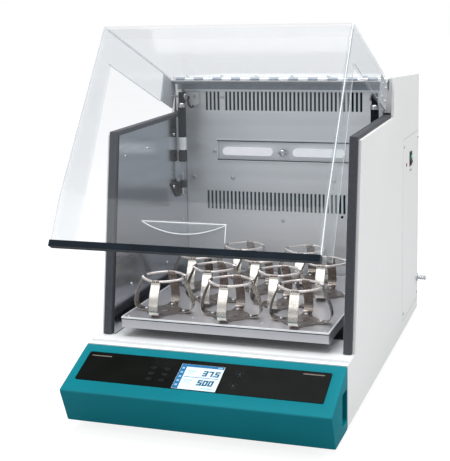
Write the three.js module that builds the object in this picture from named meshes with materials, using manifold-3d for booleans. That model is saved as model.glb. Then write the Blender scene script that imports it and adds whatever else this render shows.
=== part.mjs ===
// Benchtop incubated orbital shaker with a lift-up clear lid.
// Millimetres, +Z up, +Y towards the rear, +X to the operator's right.
// The parts are drawn with y = 0 at the top front corner of the chamber walls and z = 0 on the
// bench. The finished group is then moved so that the origin is the bottom centre of its box.

import * as THREE from 'three';
import { mergeVertices } from 'three/addons/utils/BufferGeometryUtils.js';
import Module from 'manifold-3d';

const wasm = await Module();
wasm.setup();

// ---------------------------------------------------------------- driving dimensions

const GAP = 0.3; // clearance between touching pieces
const SHEET = 1.5; // cabinet sheet thickness
const LINER = 1.2; // stainless liner thickness

const WIDTH = 430; // cabinet, outside
const FRONT_Y = -105; // front of the base tray
const REAR_Y = 600; // back of the cabinet
const FOOT_HEIGHT = 20;
const SILL_Z = 117; // top of the sill in front of the chamber
const WALL_FOOT_Y = -48; // front edge of a chamber wall at the sill
const WALL_FRONT_Z = 446; // top front corner of a chamber wall, at y = 0
const WALL_REAR = [292, 453]; // where the sloping wall top meets the rear housing
const HOUSING_FRONT = [302.5, 526]; // top front edge of the rear housing
const ROOF_REAR_Z = 516;

const CHAMBER_HALF = 195; // half the chamber's inside width
const CHAMBER_FLOOR_Z = 106;
const CHAMBER_REAR_Y = 315; // front face of the louvred panel
const DUCT_REAR_Y = 372; // front face of the duct's back panel
const CEILING_Z = 500;

const BEZEL_CREASE = [-210, 74]; // front edge of the sloping control panel
const BEZEL_TOE = [-185, 17];
const GLASS = { x0: -200, x1: 196, near: 19.5, far: 85.5, radius: 4 }; // down the slope
const SCREEN = { x0: -39.5, x1: 30.5, near: 28.5, far: 84.5 };

const HINGE = [295, 522]; // lid hinge axis, y and z
const LID_OPEN = THREE.MathUtils.degToRad(21);
const LID_HALF = 206; // half the lid's outside width
const ACRYLIC = 5;
// Outside of the closed lid, from the hinge end round to the bottom edge.
const LID_PROFILE = [
  [272, 517.5],
  [-38, 508],
  [-116, 207],
  [-125, 139],
];
const LID_BEND_RADIUS = 9;
const LID_FRAME_Y = 229; // front edge of the lid's metal rear frame
const LID_BAR = { front: -4, back: 9, height: 10 }; // bar under the front sheet, from its face
const SEAL = 6; // how far the gasket stands out of the wall edge
const GASKET_X = [197, 210];

const STRUT_X = 185;
const STRUT_Y = 268;
const STRUT_LOW_Z = 312;
const STRUT_TOP_Z = 491;

const ORBIT = 9.5; // crank throw, half the orbit's diameter
const DRIVE_Y = 114; // axis of the main shaft
const IDLER_X = 110;
const PULLEY_RADIUS = 55;
const MOTOR_PULLEY_RADIUS = 20;
const MOTOR_Y = 262;
const BELT_Z = [27, 37];

const PLATFORM_TOP_Z = 150.7;
const PLATFORM_SIZE = [350, 360];
const PLATFORM_SKIRT = 18;
const PLATFORM_Y = DRIVE_Y + ORBIT; // the platform rests at the rear end of its orbit

const CLAMP_PITCH = 118; // between clamps in a row
const CLAMP_ROW_PITCH = 87;
const CLAMP_ROWS = [3, 2, 3, 2]; // front row first
const CLAMP_RING_Z = 59; // above the platform
const CLAMP_RING_RADIUS = 33.5;
const CLAMP_BELLY = 51.5; // widest reach of the spring arms

// ---------------------------------------------------------------- colours

const finish = (color, roughness, metalness = 0) => ({ color, roughness, metalness });
const FINISH = {
  white: finish(0xe6e6e3, 0.45),
  teal: finish(0x12848e, 0.4),
  glass: finish(0x10130f, 0.08),
  screen: finish(0xdfe9ee, 0.25),
  steel: finish(0x9aa0a4, 0.32, 1),
  dullSteel: finish(0x8b9096, 0.5, 1),
  gasket: finish(0x3e4248, 0.7),
  acrylic: finish(0xdfe6ea, 0.05),
  bar: finish(0x111a22, 0.35),
  black: finish(0x17181a, 0.5),
  rubber: finish(0x202122, 0.85),
  lamp: finish(0xf7f7f2, 0.4),
  board: finish(0x1f6a3a, 0.6),
  iron: finish(0x50555a, 0.6, 0.8),
};

// ---------------------------------------------------------------- shape helpers

const shapeOf = (points) => new THREE.Shape(points.map(([x, y]) => new THREE.Vector2(x, y)));
const BASIS = {
  x: new THREE.Matrix4().makeBasis(
    new THREE.Vector3(0, 1, 0),
    new THREE.Vector3(0, 0, 1),
    new THREE.Vector3(1, 0, 0),
  ),
  y: new THREE.Matrix4().makeBasis(
    new THREE.Vector3(1, 0, 0),
    new THREE.Vector3(0, 0, 1),
    new THREE.Vector3(0, -1, 0),
  ),
  z: new THREE.Matrix4(),
};

/** Extrudes an outline from low to high along x (outline in y, z), y (in x, z) or z (in x, y). */
function prism(axis, outline, low, high, holes = []) {
  const shape = outline instanceof THREE.Shape ? outline : shapeOf(outline);
  shape.holes.push(...holes.map(shapeOf));
  const options = { depth: high - low, bevelEnabled: false, curveSegments: 6 };
  const geometry = new THREE.ExtrudeGeometry(shape, options);
  geometry.applyMatrix4(BASIS[axis]);
  const start = axis === 'y' ? high : low;
  geometry.translate(axis === 'x' ? start : 0, axis === 'y' ? start : 0, axis === 'z' ? start : 0);
  return geometry;
}

function block([x0, x1], [y0, y1], [z0, z1]) {
  const geometry = new THREE.BoxGeometry(x1 - x0, y1 - y0, z1 - z0);
  return geometry.translate((x0 + x1) / 2, (y0 + y1) / 2, (z0 + z1) / 2);
}

/** A cylinder along an axis, centred on the other two coordinates, which come in x, y, z order. */
function rod(axis, radius, [low, high], [a, b], sides = 16) {
  const geometry = new THREE.CylinderGeometry(radius, radius, high - low, sides);
  const middle = (low + high) / 2;
  if (axis === 'x') {
    return geometry.rotateZ(-Math.PI / 2).translate(middle, a, b);
  }
  if (axis === 'y') {
    return geometry.translate(a, middle, b);
  }
  return geometry.rotateX(Math.PI / 2).translate(a, b, middle);
}

const rectangle = (x0, x1, y0, y1) => [[x0, y0], [x1, y0], [x1, y1], [x0, y1]];

function circle([x, y], radius, sides) {
  const corner = (i) => (2 * Math.PI * i) / sides;
  return Array.from({ length: sides }, (_, i) => [
    x + radius * Math.cos(corner(i)),
    y + radius * Math.sin(corner(i)),
  ]);
}

function roundedRectangle(x0, x1, y0, y1, radius) {
  const shape = new THREE.Shape();
  shape.absarc(x1 - radius, y1 - radius, radius, 0, Math.PI / 2);
  shape.absarc(x0 + radius, y1 - radius, radius, Math.PI / 2, Math.PI);
  shape.absarc(x0 + radius, y0 + radius, radius, Math.PI, 1.5 * Math.PI);
  shape.absarc(x1 - radius, y0 + radius, radius, 1.5 * Math.PI, 2 * Math.PI);
  return shape;
}

/** Moves an open line sideways by a distance, to the left of its direction. */
function parallel(points, distance) {
  const at = points.map(([x, y]) => new THREE.Vector2(x, y));
  const left = (a, b) => new THREE.Vector2(a.y - b.y, b.x - a.x).normalize();
  return at.map((p, i) => {
    const before = i > 0 ? left(at[i - 1], p) : left(p, at[i + 1]);
    const after = i < at.length - 1 ? left(p, at[i + 1]) : before;
    const mitre = before.clone().add(after).normalize();
    const moved = p.clone().addScaledVector(mitre, distance / mitre.dot(after));
    return [moved.x, moved.y];
  });
}

/** A band of even thickness along an open line. */
const band = (points, from, to) => [...parallel(points, from), ...parallel(points, to).reverse()];

/** Replaces each inner corner of an open line by an arc. */
function softened(points, radius, steps = 4) {
  const at = points.map(([x, y]) => new THREE.Vector2(x, y));
  const out = [points[0]];
  for (let i = 1; i < at.length - 1; i += 1) {
    const toBefore = at[i - 1].clone().sub(at[i]).normalize();
    const toAfter = at[i + 1].clone().sub(at[i]).normalize();
    const half = Math.acos(toBefore.dot(toAfter)) / 2;
    const reach = radius / Math.tan(half);
    const start = at[i].clone().addScaledVector(toBefore, reach);
    const end = at[i].clone().addScaledVector(toAfter, reach);
    const curve = new THREE.QuadraticBezierCurve(start, at[i], end);
    out.push(...curve.getPoints(steps).map((p) => [p.x, p.y]));
  }
  out.push(points[points.length - 1]);
  return out;
}

// ---------------------------------------------------------------- cutting and joining

function toSolid(geometry) {
  const bare = geometry.clone();
  bare.deleteAttribute('normal');
  bare.deleteAttribute('uv');
  const merged = mergeVertices(bare, 1e-4);
  const mesh = new wasm.Mesh({
    numProp: 3,
    vertProperties: new Float32Array(merged.attributes.position.array),
    triVerts: new Uint32Array(merged.index.array),
  });
  return new wasm.Manifold(mesh);
}

function toGeometry(solid) {
  const mesh = solid.getMesh();
  const geometry = new THREE.BufferGeometry();
  geometry.setAttribute('position', new THREE.BufferAttribute(mesh.vertProperties, 3));
  geometry.setIndex(new THREE.BufferAttribute(mesh.triVerts, 1));
  geometry.computeVertexNormals();
  return geometry;
}

const join = (...parts) => toGeometry(parts.map(toSolid).reduce((a, b) => a.add(b)));
const cut = (body, ...tools) =>
  toGeometry(tools.map(toSolid).reduce((a, b) => a.subtract(b), toSolid(body)));

const shaker = new THREE.Group();

function add(name, geometry, look, parent = shaker) {
  const mesh = new THREE.Mesh(geometry, new THREE.MeshStandardMaterial(look));
  mesh.name = name;
  parent.add(mesh);
  return mesh;
}

const SIDES = [
  ['left', -1],
  ['right', 1],
];
/** Orders a span given for the right side, or its mirror image for the left. */
const span = (sign, a, b) => (sign > 0 ? [a, b] : [-b, -a]);

// ---------------------------------------------------------------- cabinet shell

const SKIN_X = WIDTH / 2 - SHEET;
const INSIDE = SKIN_X - 0.5; // half width of what fits between the side panels
const WALL_EDGE = [
  [WALL_FOOT_Y, SILL_Z],
  [0, WALL_FRONT_Z],
  WALL_REAR,
];
const SIDE_OUTLINE = [
  [FRONT_Y, FOOT_HEIGHT],
  [REAR_Y, FOOT_HEIGHT],
  [REAR_Y, ROOF_REAR_Z],
  HOUSING_FRONT,
  WALL_REAR,
  [0, WALL_FRONT_Z],
  [WALL_FOOT_Y, SILL_Z],
  [FRONT_Y, SILL_Z],
];
const SERVICE = { y: [403, 597], z: [42, 400] };
const SWITCH = { y: [481, 511], z: [338, 367] };
const ROCKER_TILT = THREE.MathUtils.degToRad(7);
const DRAIN = { y: 584, z: 88 };

function sidePanel(sign) {
  const holes = sign > 0 ? [rectangle(...SERVICE.y, ...SERVICE.z)] : [];
  const skin = prism('x', SIDE_OUTLINE, ...span(sign, SKIN_X, WIDTH / 2), holes);
  const rimLine = [...WALL_EDGE, HOUSING_FRONT];
  const rim = prism('x', band(rimLine, 0, -SHEET), ...span(sign, GASKET_X[1] + GAP, WIDTH / 2));
  return join(skin, rim);
}

function baseTray() {
  const outside = block([-INSIDE, INSIDE], [FRONT_Y + 1, REAR_Y - 2], [FOOT_HEIGHT, 38]);
  const inside = block(
    [-INSIDE + SHEET, INSIDE - SHEET],
    [FRONT_Y + 1 + SHEET, REAR_Y - 2 - SHEET],
    [FOOT_HEIGHT + SHEET, 60],
  );
  return cut(outside, inside);
}

const INLET = { x: [100, 150], z: [60, 92] };

function rearPanel() {
  const vents = [];
  for (let row = 0; row < 2; row += 1) {
    for (let i = -5; i <= 5; i += 1) {
      const z = 330 + 60 * row;
      vents.push(block([i * 22 - 3, i * 22 + 3], [REAR_Y - 5, REAR_Y + 5], [z, z + 45]));
    }
  }
  const sheet = block([-INSIDE, INSIDE], [REAR_Y - SHEET, REAR_Y], [FOOT_HEIGHT + 0.5, ROOF_REAR_Z - 2]);
  return cut(sheet, block(INLET.x, [REAR_Y - 5, REAR_Y + 5], INLET.z), ...vents);
}

function topCover() {
  const roofEnd = REAR_Y - 0.5;
  const line = [
    [HOUSING_FRONT[0] - 0.2, CEILING_Z + 2],
    [HOUSING_FRONT[0] - 0.2, HOUSING_FRONT[1]],
    [roofEnd, ROOF_REAR_Z],
  ];
  const cover = prism('x', band(line, 0, -SHEET), -INSIDE, INSIDE);
  const notches = SIDES.map(([, sign]) =>
    block(span(sign, GASKET_X[1], WIDTH), [HOUSING_FRONT[0] - 5, HOUSING_FRONT[0] + 2], [480, 540]),
  );
  return cut(cover, ...notches);
}

function servicePanel() {
  const inset = 0.5;
  const outline = rectangle(
    SERVICE.y[0] + inset,
    SERVICE.y[1] - inset,
    SERVICE.z[0] + inset,
    SERVICE.z[1] - inset,
  );
  const holes = [rectangle(...SWITCH.y, ...SWITCH.z), circle([DRAIN.y, DRAIN.z], 5, 12)];
  return prism('x', outline, SKIN_X, WIDTH / 2, holes);
}

for (const [side, sign] of SIDES) {
  add(`${side}_side_panel`, sidePanel(sign), FINISH.white);
}
add('base_tray', baseTray(), FINISH.dullSteel);
add('rear_panel', rearPanel(), FINISH.white);
add('top_cover', topCover(), FINISH.white);
add('service_panel', servicePanel(), FINISH.white);

const FOOT_PLACES = { front: FRONT_Y + 35, rear: REAR_Y - 45 };
for (const [end, y] of Object.entries(FOOT_PLACES)) {
  for (const [side, sign] of SIDES) {
    const profile = [[0, 0], [15, 0], [17, 3], [19, FOOT_HEIGHT - GAP], [0, FOOT_HEIGHT - GAP]];
    const foot = new THREE.LatheGeometry(profile.map(([r, z]) => new THREE.Vector2(r, z)), 14);
    foot.rotateX(Math.PI / 2);
    const mesh = add(`${end}_${side}_foot`, foot, FINISH.rubber);
    mesh.position.set(sign * 175, y, 0);
  }
}

// ---------------------------------------------------------------- chamber

const CRANK_OPENING = 24;
const IDLER_OPENING = 18;

function chamberLiner() {
  const wallOutline = [
    [WALL_FOOT_Y + 1, CHAMBER_FLOOR_Z - 2 * LINER],
    [CHAMBER_REAR_Y - 1, CHAMBER_FLOOR_Z - 2 * LINER],
    [CHAMBER_REAR_Y - 1, CEILING_Z - 1],
    [WALL_REAR[0] + 6, CEILING_Z - 1],
    [WALL_REAR[0] - 0.5, WALL_REAR[1] - 1],
    [0.8, WALL_FRONT_Z - 1],
  ];
  const walls = SIDES.map(([, sign]) =>
    prism('x', wallOutline, ...span(sign, CHAMBER_HALF, CHAMBER_HALF + LINER)),
  );
  const reach = [-CHAMBER_HALF - LINER / 2, CHAMBER_HALF + LINER / 2];
  const depth = [WALL_FOOT_Y + 1.5, CHAMBER_REAR_Y - 1.5];
  const floor = block(reach, depth, [CHAMBER_FLOOR_Z - LINER, CHAMBER_FLOOR_Z]);
  const pads = SIDES.map(([, sign]) =>
    block(span(sign, CHAMBER_HALF - 2, CHAMBER_HALF + 0.5), [STRUT_Y - 13, STRUT_Y + 13], [298, 326]),
  );
  const studs = SIDES.map(([, sign]) =>
    rod('x', 2.5, span(sign, STRUT_X - 3, CHAMBER_HALF), [STRUT_Y, STRUT_LOW_Z], 10),
  );
  const holes = [
    rod('z', CRANK_OPENING, [90, 120], [0, DRIVE_Y], 28),
    rod('z', IDLER_OPENING, [90, 120], [-IDLER_X, DRIVE_Y], 18),
    rod('z', IDLER_OPENING, [90, 120], [IDLER_X, DRIVE_Y], 18),
  ];
  return cut(join(floor, ...walls, ...pads, ...studs), ...holes);
}

const LOUVRE = { pitch: 7.95, count: 39, width: 4.2, height: 36, rows: [461, 268] };
const LOUVRE_SCREW_SLOT = 4; // the slot left out for a screw in the top row
const LAMP = { half: 130, z: [362, 404], tube: [20, 120], tubeZ: 382, tubeRadius: 7.5 };
const FAN = { z: 205, radius: 62, y: [334, 356], blades: 10 };

function louvrePanel() {
  const slots = [];
  const through = [CHAMBER_REAR_Y - 1, CHAMBER_REAR_Y + 4];
  LOUVRE.rows.forEach((low, row) => {
    for (let i = 0; i < LOUVRE.count; i += 1) {
      const x = (i - (LOUVRE.count - 1) / 2) * LOUVRE.pitch;
      if (row > 0 || i !== LOUVRE_SCREW_SLOT) {
        const half = LOUVRE.width / 2;
        slots.push(block([x - half, x + half], through, [low, low + LOUVRE.height]));
      }
    }
  });
  const half = CHAMBER_HALF - 0.5;
  const back = CHAMBER_REAR_Y + LINER;
  const sheet = block([-half, half], [CHAMBER_REAR_Y, back], [CHAMBER_FLOOR_Z + 0.5, CEILING_Z]);
  const ceilingLine = [
    [HOUSING_FRONT[0] + 1.6, CEILING_Z + 12],
    [HOUSING_FRONT[0] + 1.6, CEILING_Z - 0.6],
    [back, CEILING_Z - 0.6],
  ];
  const ceiling = prism('x', band(ceilingLine, 0, LINER), -half, half);
  const dish = 6; // depth of the recess that holds the lamps
  const rim = 1;
  const [z0, z1] = LAMP.z;
  const pocket = block(
    [-LAMP.half - rim, LAMP.half + rim],
    [CHAMBER_REAR_Y, back + dish],
    [z0 - rim, z1 + rim],
  );
  const hollow = block([-LAMP.half, LAMP.half], [CHAMBER_REAR_Y - 1, back + dish - rim], [z0, z1]);
  return cut(join(sheet, ceiling, pocket), hollow, ...slots);
}

function frontSill() {
  const line = [
    [FRONT_Y + 0.5, SILL_Z],
    [WALL_FOOT_Y, SILL_Z],
    [WALL_FOOT_Y, CHAMBER_FLOOR_Z + 1],
  ];
  const lip = rectangle(-92, -89, SILL_Z - SHEET / 2, SILL_Z + 4);
  return join(prism('x', band(line, 0, -SHEET), -INSIDE, INSIDE), prism('x', lip, -INSIDE, INSIDE));
}

function ductBack() {
  const half = CHAMBER_HALF - 0.5;
  const outline = rectangle(-half, half, CHAMBER_FLOOR_Z + 0.5, CEILING_Z + 8);
  const shaftHole = circle([0, FAN.z], 9, 14);
  return prism('y', outline, DUCT_REAR_Y, DUCT_REAR_Y + SHEET, [shaftHole]);
}

add('chamber_liner', chamberLiner(), FINISH.steel);
add('louvre_panel', louvrePanel(), FINISH.steel);
add('front_sill', frontSill(), FINISH.white);
add('duct_back_panel', ductBack(), FINISH.dullSteel);
for (const [side, sign] of SIDES) {
  const edge = [[WALL_FOOT_Y + 0.1, SILL_Z + 0.5], ...WALL_EDGE.slice(1)];
  const strip = prism('x', band(edge, SEAL, -5), ...span(sign, ...GASKET_X));
  const floorLevel = block([-WIDTH, WIDTH], [-200, 0], [0, SILL_Z + GAP]);
  add(`${side}_gasket`, cut(strip, floorLevel), FINISH.gasket);

  const [near, far] = LAMP.tube;
  const [x0, x1] = span(sign, near, far);
  const low = LAMP.tubeZ - LAMP.tubeRadius;
  const high = LAMP.tubeZ + LAMP.tubeRadius;
  const lens = roundedRectangle(x0, x1, low, high, LAMP.tubeRadius - 0.01);
  const lampY = [CHAMBER_REAR_Y - 1.5, CHAMBER_REAR_Y + LINER + 4.6];
  add(`${side}_lamp`, prism('y', lens, ...lampY), FINISH.lamp);
}

// ---------------------------------------------------------------- control panel

const SLOPE = Math.atan2(SILL_Z - BEZEL_CREASE[1], FRONT_Y - BEZEL_CREASE[0]);
const BEZEL_WALL = 3;
const BEZEL_REAR = FRONT_Y - 0.5;
const GRIP = { y: [-142, -111], z: [34, 84], depth: 12 };

/** A frame on the sloping panel: local -Y runs down the slope and +Z stands out of it. */
const slopeFrame = new THREE.Group();
slopeFrame.position.set(0, FRONT_Y, SILL_Z);
slopeFrame.rotation.x = SLOPE;
shaker.add(slopeFrame);
slopeFrame.updateMatrix();

const onSlope = (geometry) => geometry.applyMatrix4(slopeFrame.matrix);

function controlBezel() {
  const outline = [
    [BEZEL_REAR, SILL_Z - 0.3],
    [BEZEL_CREASE[0], BEZEL_CREASE[1]],
    BEZEL_TOE,
    [BEZEL_REAR, BEZEL_TOE[1]],
  ];
  const body = prism('x', outline, -WIDTH / 2, WIDTH / 2);
  const inner = [
    [BEZEL_REAR + 5, SILL_Z - 4.5],
    [BEZEL_CREASE[0] + 5, BEZEL_CREASE[1] - 2],
    [BEZEL_TOE[0] + 3, BEZEL_TOE[1] + BEZEL_WALL],
    [BEZEL_REAR + 5, BEZEL_TOE[1] + BEZEL_WALL],
  ];
  const endWall = GRIP.depth + BEZEL_WALL;
  const hollow = prism('x', inner, -WIDTH / 2 + endWall, WIDTH / 2 - endWall);
  const seat = onSlope(
    prism('z', roundedRectangle(GLASS.x0 - GAP, GLASS.x1 + GAP, -GLASS.far - GAP, -GLASS.near + GAP,
      GLASS.radius), -1.7, 20),
  );
  const windowY = [-SCREEN.far - GAP, -GLASS.near - 4];
  const window = onSlope(block([GLASS.x0 + 6, GLASS.x1 - 6], windowY, [-20, 5]));
  const grips = SIDES.map(([, sign]) =>
    block(span(sign, WIDTH / 2 - GRIP.depth, WIDTH / 2 + 5), GRIP.y, GRIP.z),
  );
  return cut(body, hollow, seat, window, ...grips);
}

function displayGlass() {
  const shape = roundedRectangle(GLASS.x0, GLASS.x1, -GLASS.far, -GLASS.near, GLASS.radius);
  const hole = rectangle(SCREEN.x0 - GAP, SCREEN.x1 + GAP, -SCREEN.far - GAP, -SCREEN.near + GAP);
  return prism('z', shape, -1.4, 0.3, [hole]);
}

add('control_bezel', controlBezel(), FINISH.teal);
add('display_glass', displayGlass(), FINISH.glass, slopeFrame);
const screenBlock = [[SCREEN.x0, SCREEN.x1], [-SCREEN.far, -SCREEN.near], [-6, 0.3]];
add('screen_module', block(...screenBlock), FINISH.screen, slopeFrame);
add('control_board', block([-120, 150], [-78, -24], [-14, -12.2]), FINISH.board, slopeFrame);

// ---------------------------------------------------------------- lid

const LID_INNER = parallel(LID_PROFILE, ACRYLIC);

/** Everything on the lid is drawn closed, then turned up about the hinge axis. */
const lid = new THREE.Group();
lid.position.set(0, HINGE[0], HINGE[1]);
lid.rotation.x = -LID_OPEN;
shaker.add(lid);

const onLid = (geometry) => geometry.translate(0, -HINGE[0], -HINGE[1]);

function lidCanopy() {
  const outer = softened(LID_PROFILE, LID_BEND_RADIUS);
  const inner = softened(LID_INNER, LID_BEND_RADIUS - ACRYLIC).reverse();
  return prism('x', [...outer, ...inner], -LID_HALF, LID_HALF);
}

function lidSide(sign) {
  const [, top, crease, toe] = parallel(LID_PROFILE, ACRYLIC + GAP);
  const edge = parallel(WALL_EDGE, SEAL + 0.5);
  const footZ = toe[1];
  const t = (footZ - edge[0][1]) / (edge[1][1] - edge[0][1]);
  const footY = edge[0][0] + t * (edge[1][0] - edge[0][0]);
  const end = LID_FRAME_Y - 0.5;
  const along = (end - edge[1][0]) / (edge[2][0] - edge[1][0]);
  const endZ = edge[1][1] + along * (edge[2][1] - edge[1][1]);
  const topSlope = (LID_PROFILE[0][1] - LID_PROFILE[1][1]) / (LID_PROFILE[0][0] - LID_PROFILE[1][0]);
  const topZ = top[1] + topSlope * (end - top[0]);
  const under = softened([[end, topZ], top, crease, toe], LID_BEND_RADIUS - ACRYLIC);
  const outline = [...under, [footY, footZ], edge[1], [end, endZ]];
  return prism('x', outline, ...span(sign, LID_HALF - 0.5 - ACRYLIC, LID_HALF - 0.5));
}

/** The lid's metal rear frame: a cross plate under the acrylic and a cheek at each side. */
function lidRearFrame() {
  const topZ = 510.4;
  const cheek = [
    [LID_FRAME_Y, 459.5],
    [287, 461],
    [290, 500],
    [284, topZ],
    [LID_FRAME_Y, topZ],
  ];
  const cheekX = [LID_HALF - 3, LID_HALF - 0.5];
  const plate = block([-cheekX[1], cheekX[1]], [266, 284], [topZ - 2, topZ]);
  const cheeks = SIDES.map(([, sign]) => prism('x', cheek, ...span(sign, ...cheekX)));
  const [y, z] = closedLidPoint(STRUT_Y, STRUT_TOP_Z);
  const studs = SIDES.map(([, sign]) => rod('x', 2.5, span(sign, STRUT_X - 4, LID_HALF - 2), [y, z], 10));
  return join(plate, ...cheeks, ...studs);
}

/** Where a point of the open lid lies when the lid is closed. */
function closedLidPoint(y, z) {
  const p = new THREE.Vector2(y - HINGE[0], z - HINGE[1]).rotateAround(new THREE.Vector2(), LID_OPEN);
  return [p.x + HINGE[0], p.y + HINGE[1]];
}

function lidBottomBar() {
  const toe = new THREE.Vector2(...LID_PROFILE[3]);
  const down = toe.clone().sub(new THREE.Vector2(...LID_PROFILE[2])).normalize();
  const inward = new THREE.Vector2(-down.y, down.x);
  const corner = (along, across) => {
    const p = toe.clone().addScaledVector(down, along).addScaledVector(inward, across);
    return [p.x, p.y];
  };
  const { front, back, height } = LID_BAR;
  const outline = [corner(GAP, front), corner(height, front), corner(height, back), corner(GAP, back)];
  return prism('x', outline, -LID_HALF, LID_HALF);
}

/** A shallow crescent pull on the lower front of the lid. */
function lidHandle() {
  const [crease, toe] = LID_PROFILE.slice(2);
  const middle = [(crease[0] + toe[0]) / 2, (crease[1] + toe[1]) / 2];
  const half = 65;
  const sag = 20;
  const arc = Array.from({ length: 13 }, (_, i) => {
    const u = -1 + i / 6;
    return [half * u, 7 - sag * (1 - u * u)];
  });
  const lean = Math.atan2(crease[0] - toe[0], crease[1] - toe[1]);
  const pull = prism('y', arc, -17, -GAP);
  return pull.rotateX(-lean).translate(0, middle[0], middle[1]);
}

const KNUCKLE = { radius: 3.5, pin: 1.5, count: 22, half: 205 };
const KNUCKLE_PITCH = (2 * KNUCKLE.half) / KNUCKLE.count;

/** The knuckles of one leaf: every second place along the hinge, with the tabs that hold them. */
function knuckles(parity, tab, bore) {
  const parts = [];
  for (let i = parity; i < KNUCKLE.count; i += 2) {
    const low = -KNUCKLE.half + i * KNUCKLE_PITCH + 0.2;
    const high = low + KNUCKLE_PITCH - 0.4;
    const holes = bore > 0 ? [circle(HINGE, bore, 8)] : [];
    parts.push(prism('x', circle(HINGE, KNUCKLE.radius, 10), low, high, holes));
    parts.push(prism('x', tab, low, high));
  }
  return parts;
}

const [hingeY, hingeZ] = HINGE;

function fixedLeaf() {
  const plate = block([-KNUCKLE.half, KNUCKLE.half], [299.3, 300.5], [502.5, hingeZ + 1.5]);
  const tab = rectangle(hingeY + 2, 300.4, hingeZ - 1.5, hingeZ + 1.5);
  const pin = rod('x', KNUCKLE.pin, [-KNUCKLE.half, KNUCKLE.half], HINGE, 8);
  return join(plate, pin, ...knuckles(0, tab, 0));
}

function movingLeaf() {
  const foot = 510.7;
  const line = [[276, foot], [283.5, foot], [289.5, hingeZ - 5]];
  const strip = prism('x', band(line, 0, 1.2), -KNUCKLE.half, KNUCKLE.half);
  const tab = [
    [287.4, hingeZ - 6.6],
    [289.5, hingeZ - 5],
    [293.6, hingeZ - 2.4],
    [292.4, hingeZ - 0.6],
    [287.6, hingeZ - 4.6],
  ];
  return join(strip, ...knuckles(1, tab, KNUCKLE.pin + 0.35));
}

add('lid_canopy', onLid(lidCanopy()), FINISH.acrylic, lid);
for (const [side, sign] of SIDES) {
  add(`lid_${side}_side`, onLid(lidSide(sign)), FINISH.acrylic, lid);
}
add('lid_rear_frame', onLid(lidRearFrame()), FINISH.white, lid);
add('lid_bottom_bar', onLid(lidBottomBar()), FINISH.bar, lid);
add('lid_handle', onLid(lidHandle()), FINISH.acrylic, lid);
add('hinge_moving_leaf', onLid(movingLeaf()), FINISH.dullSteel, lid);
add('hinge_fixed_leaf', fixedLeaf(), FINISH.dullSteel);

// ---------------------------------------------------------------- gas struts

const strutAt = (sign) => [sign * STRUT_X, STRUT_Y];

function strutRod(sign) {
  const at = strutAt(sign);
  const fitting = rod('z', 6, [STRUT_LOW_Z - 8, STRUT_LOW_Z + 20], at, 12);
  const bar = rod('z', 3, [STRUT_LOW_Z + 19, 458], at, 10);
  const mouth = span(sign, STRUT_X - 3.6, STRUT_X + 12);
  const bore = rod('x', 3, mouth, [STRUT_Y, STRUT_LOW_Z], 10);
  return cut(join(fitting, bar), bore);
}

function strutCylinder(sign) {
  const at = strutAt(sign);
  const tube = rod('z', 7.5, [367, 478], at, 16);
  const neck = rod('z', 6, [477, STRUT_TOP_Z + 8], at, 12);
  const well = rod('z', 3.6, [360, 470], at, 10);
  const mouth = span(sign, STRUT_X - 5, STRUT_X + 12);
  const bore = rod('x', 3.9, mouth, [STRUT_Y, STRUT_TOP_Z], 12);
  return cut(join(tube, neck), well, bore);
}

for (const [side, sign] of SIDES) {
  add(`${side}_strut_rod`, strutRod(sign), FINISH.steel);
  add(`${side}_strut_cylinder`, strutCylinder(sign), FINISH.black);
}

// ---------------------------------------------------------------- drive

const TRAY_TOP = FOOT_HEIGHT + SHEET;
const CRANK_TOP = 102;
const PIN_TOP = 131;

function driveFrame() {
  const deck = block([-150, 150], [60, 168], [58, 64]);
  const legs = [-140, 140].flatMap((x) =>
    [70, 158].map((y) => rod('z', 8, [TRAY_TOP + GAP, 59], [x, y], 10)),
  );
  const mainTube = rod('z', 26, [42, 88], [0, DRIVE_Y], 20);
  const idlerTubes = [-IDLER_X, IDLER_X].map((x) => rod('z', 12, [52, 94], [x, DRIVE_Y], 14));
  const mainBore = rod('z', 10.4, [40, 90], [0, DRIVE_Y], 16);
  const idlerBores = [-IDLER_X, IDLER_X].map((x) => rod('z', 5.4, [50, 96], [x, DRIVE_Y], 12));
  return cut(join(deck, ...legs, mainTube, ...idlerTubes), mainBore, ...idlerBores);
}

/** Main shaft with its toothed pulley below, and a counterweight and crank pin above. */
function driveCrank() {
  const pulley = rod('z', PULLEY_RADIUS, BELT_Z, [0, DRIVE_Y], 28);
  const shaft = rod('z', 10, [BELT_Z[1] - 1, CRANK_TOP - 8], [0, DRIVE_Y], 16);
  const weight = new THREE.Shape();
  weight.absarc(0, DRIVE_Y, 46, 1.15 * Math.PI, 1.85 * Math.PI);
  weight.absarc(0, DRIVE_Y, 19, -0.15 * Math.PI, 1.15 * Math.PI);
  const plate = prism('z', weight, CRANK_TOP - 10, CRANK_TOP);
  const pin = rod('z', 7, [CRANK_TOP - 1, PIN_TOP], [0, PLATFORM_Y], 14);
  return join(pulley, shaft, plate, pin);
}

function idlerCrank(sign) {
  const x = sign * IDLER_X;
  const shaft = rod('z', 5, [54, 97], [x, DRIVE_Y], 12);
  const disc = rod('z', 17, [96, 102], [x, DRIVE_Y], 16);
  const pin = rod('z', 4, [101, PIN_TOP], [x, PLATFORM_Y], 12);
  return join(shaft, disc, pin);
}

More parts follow.
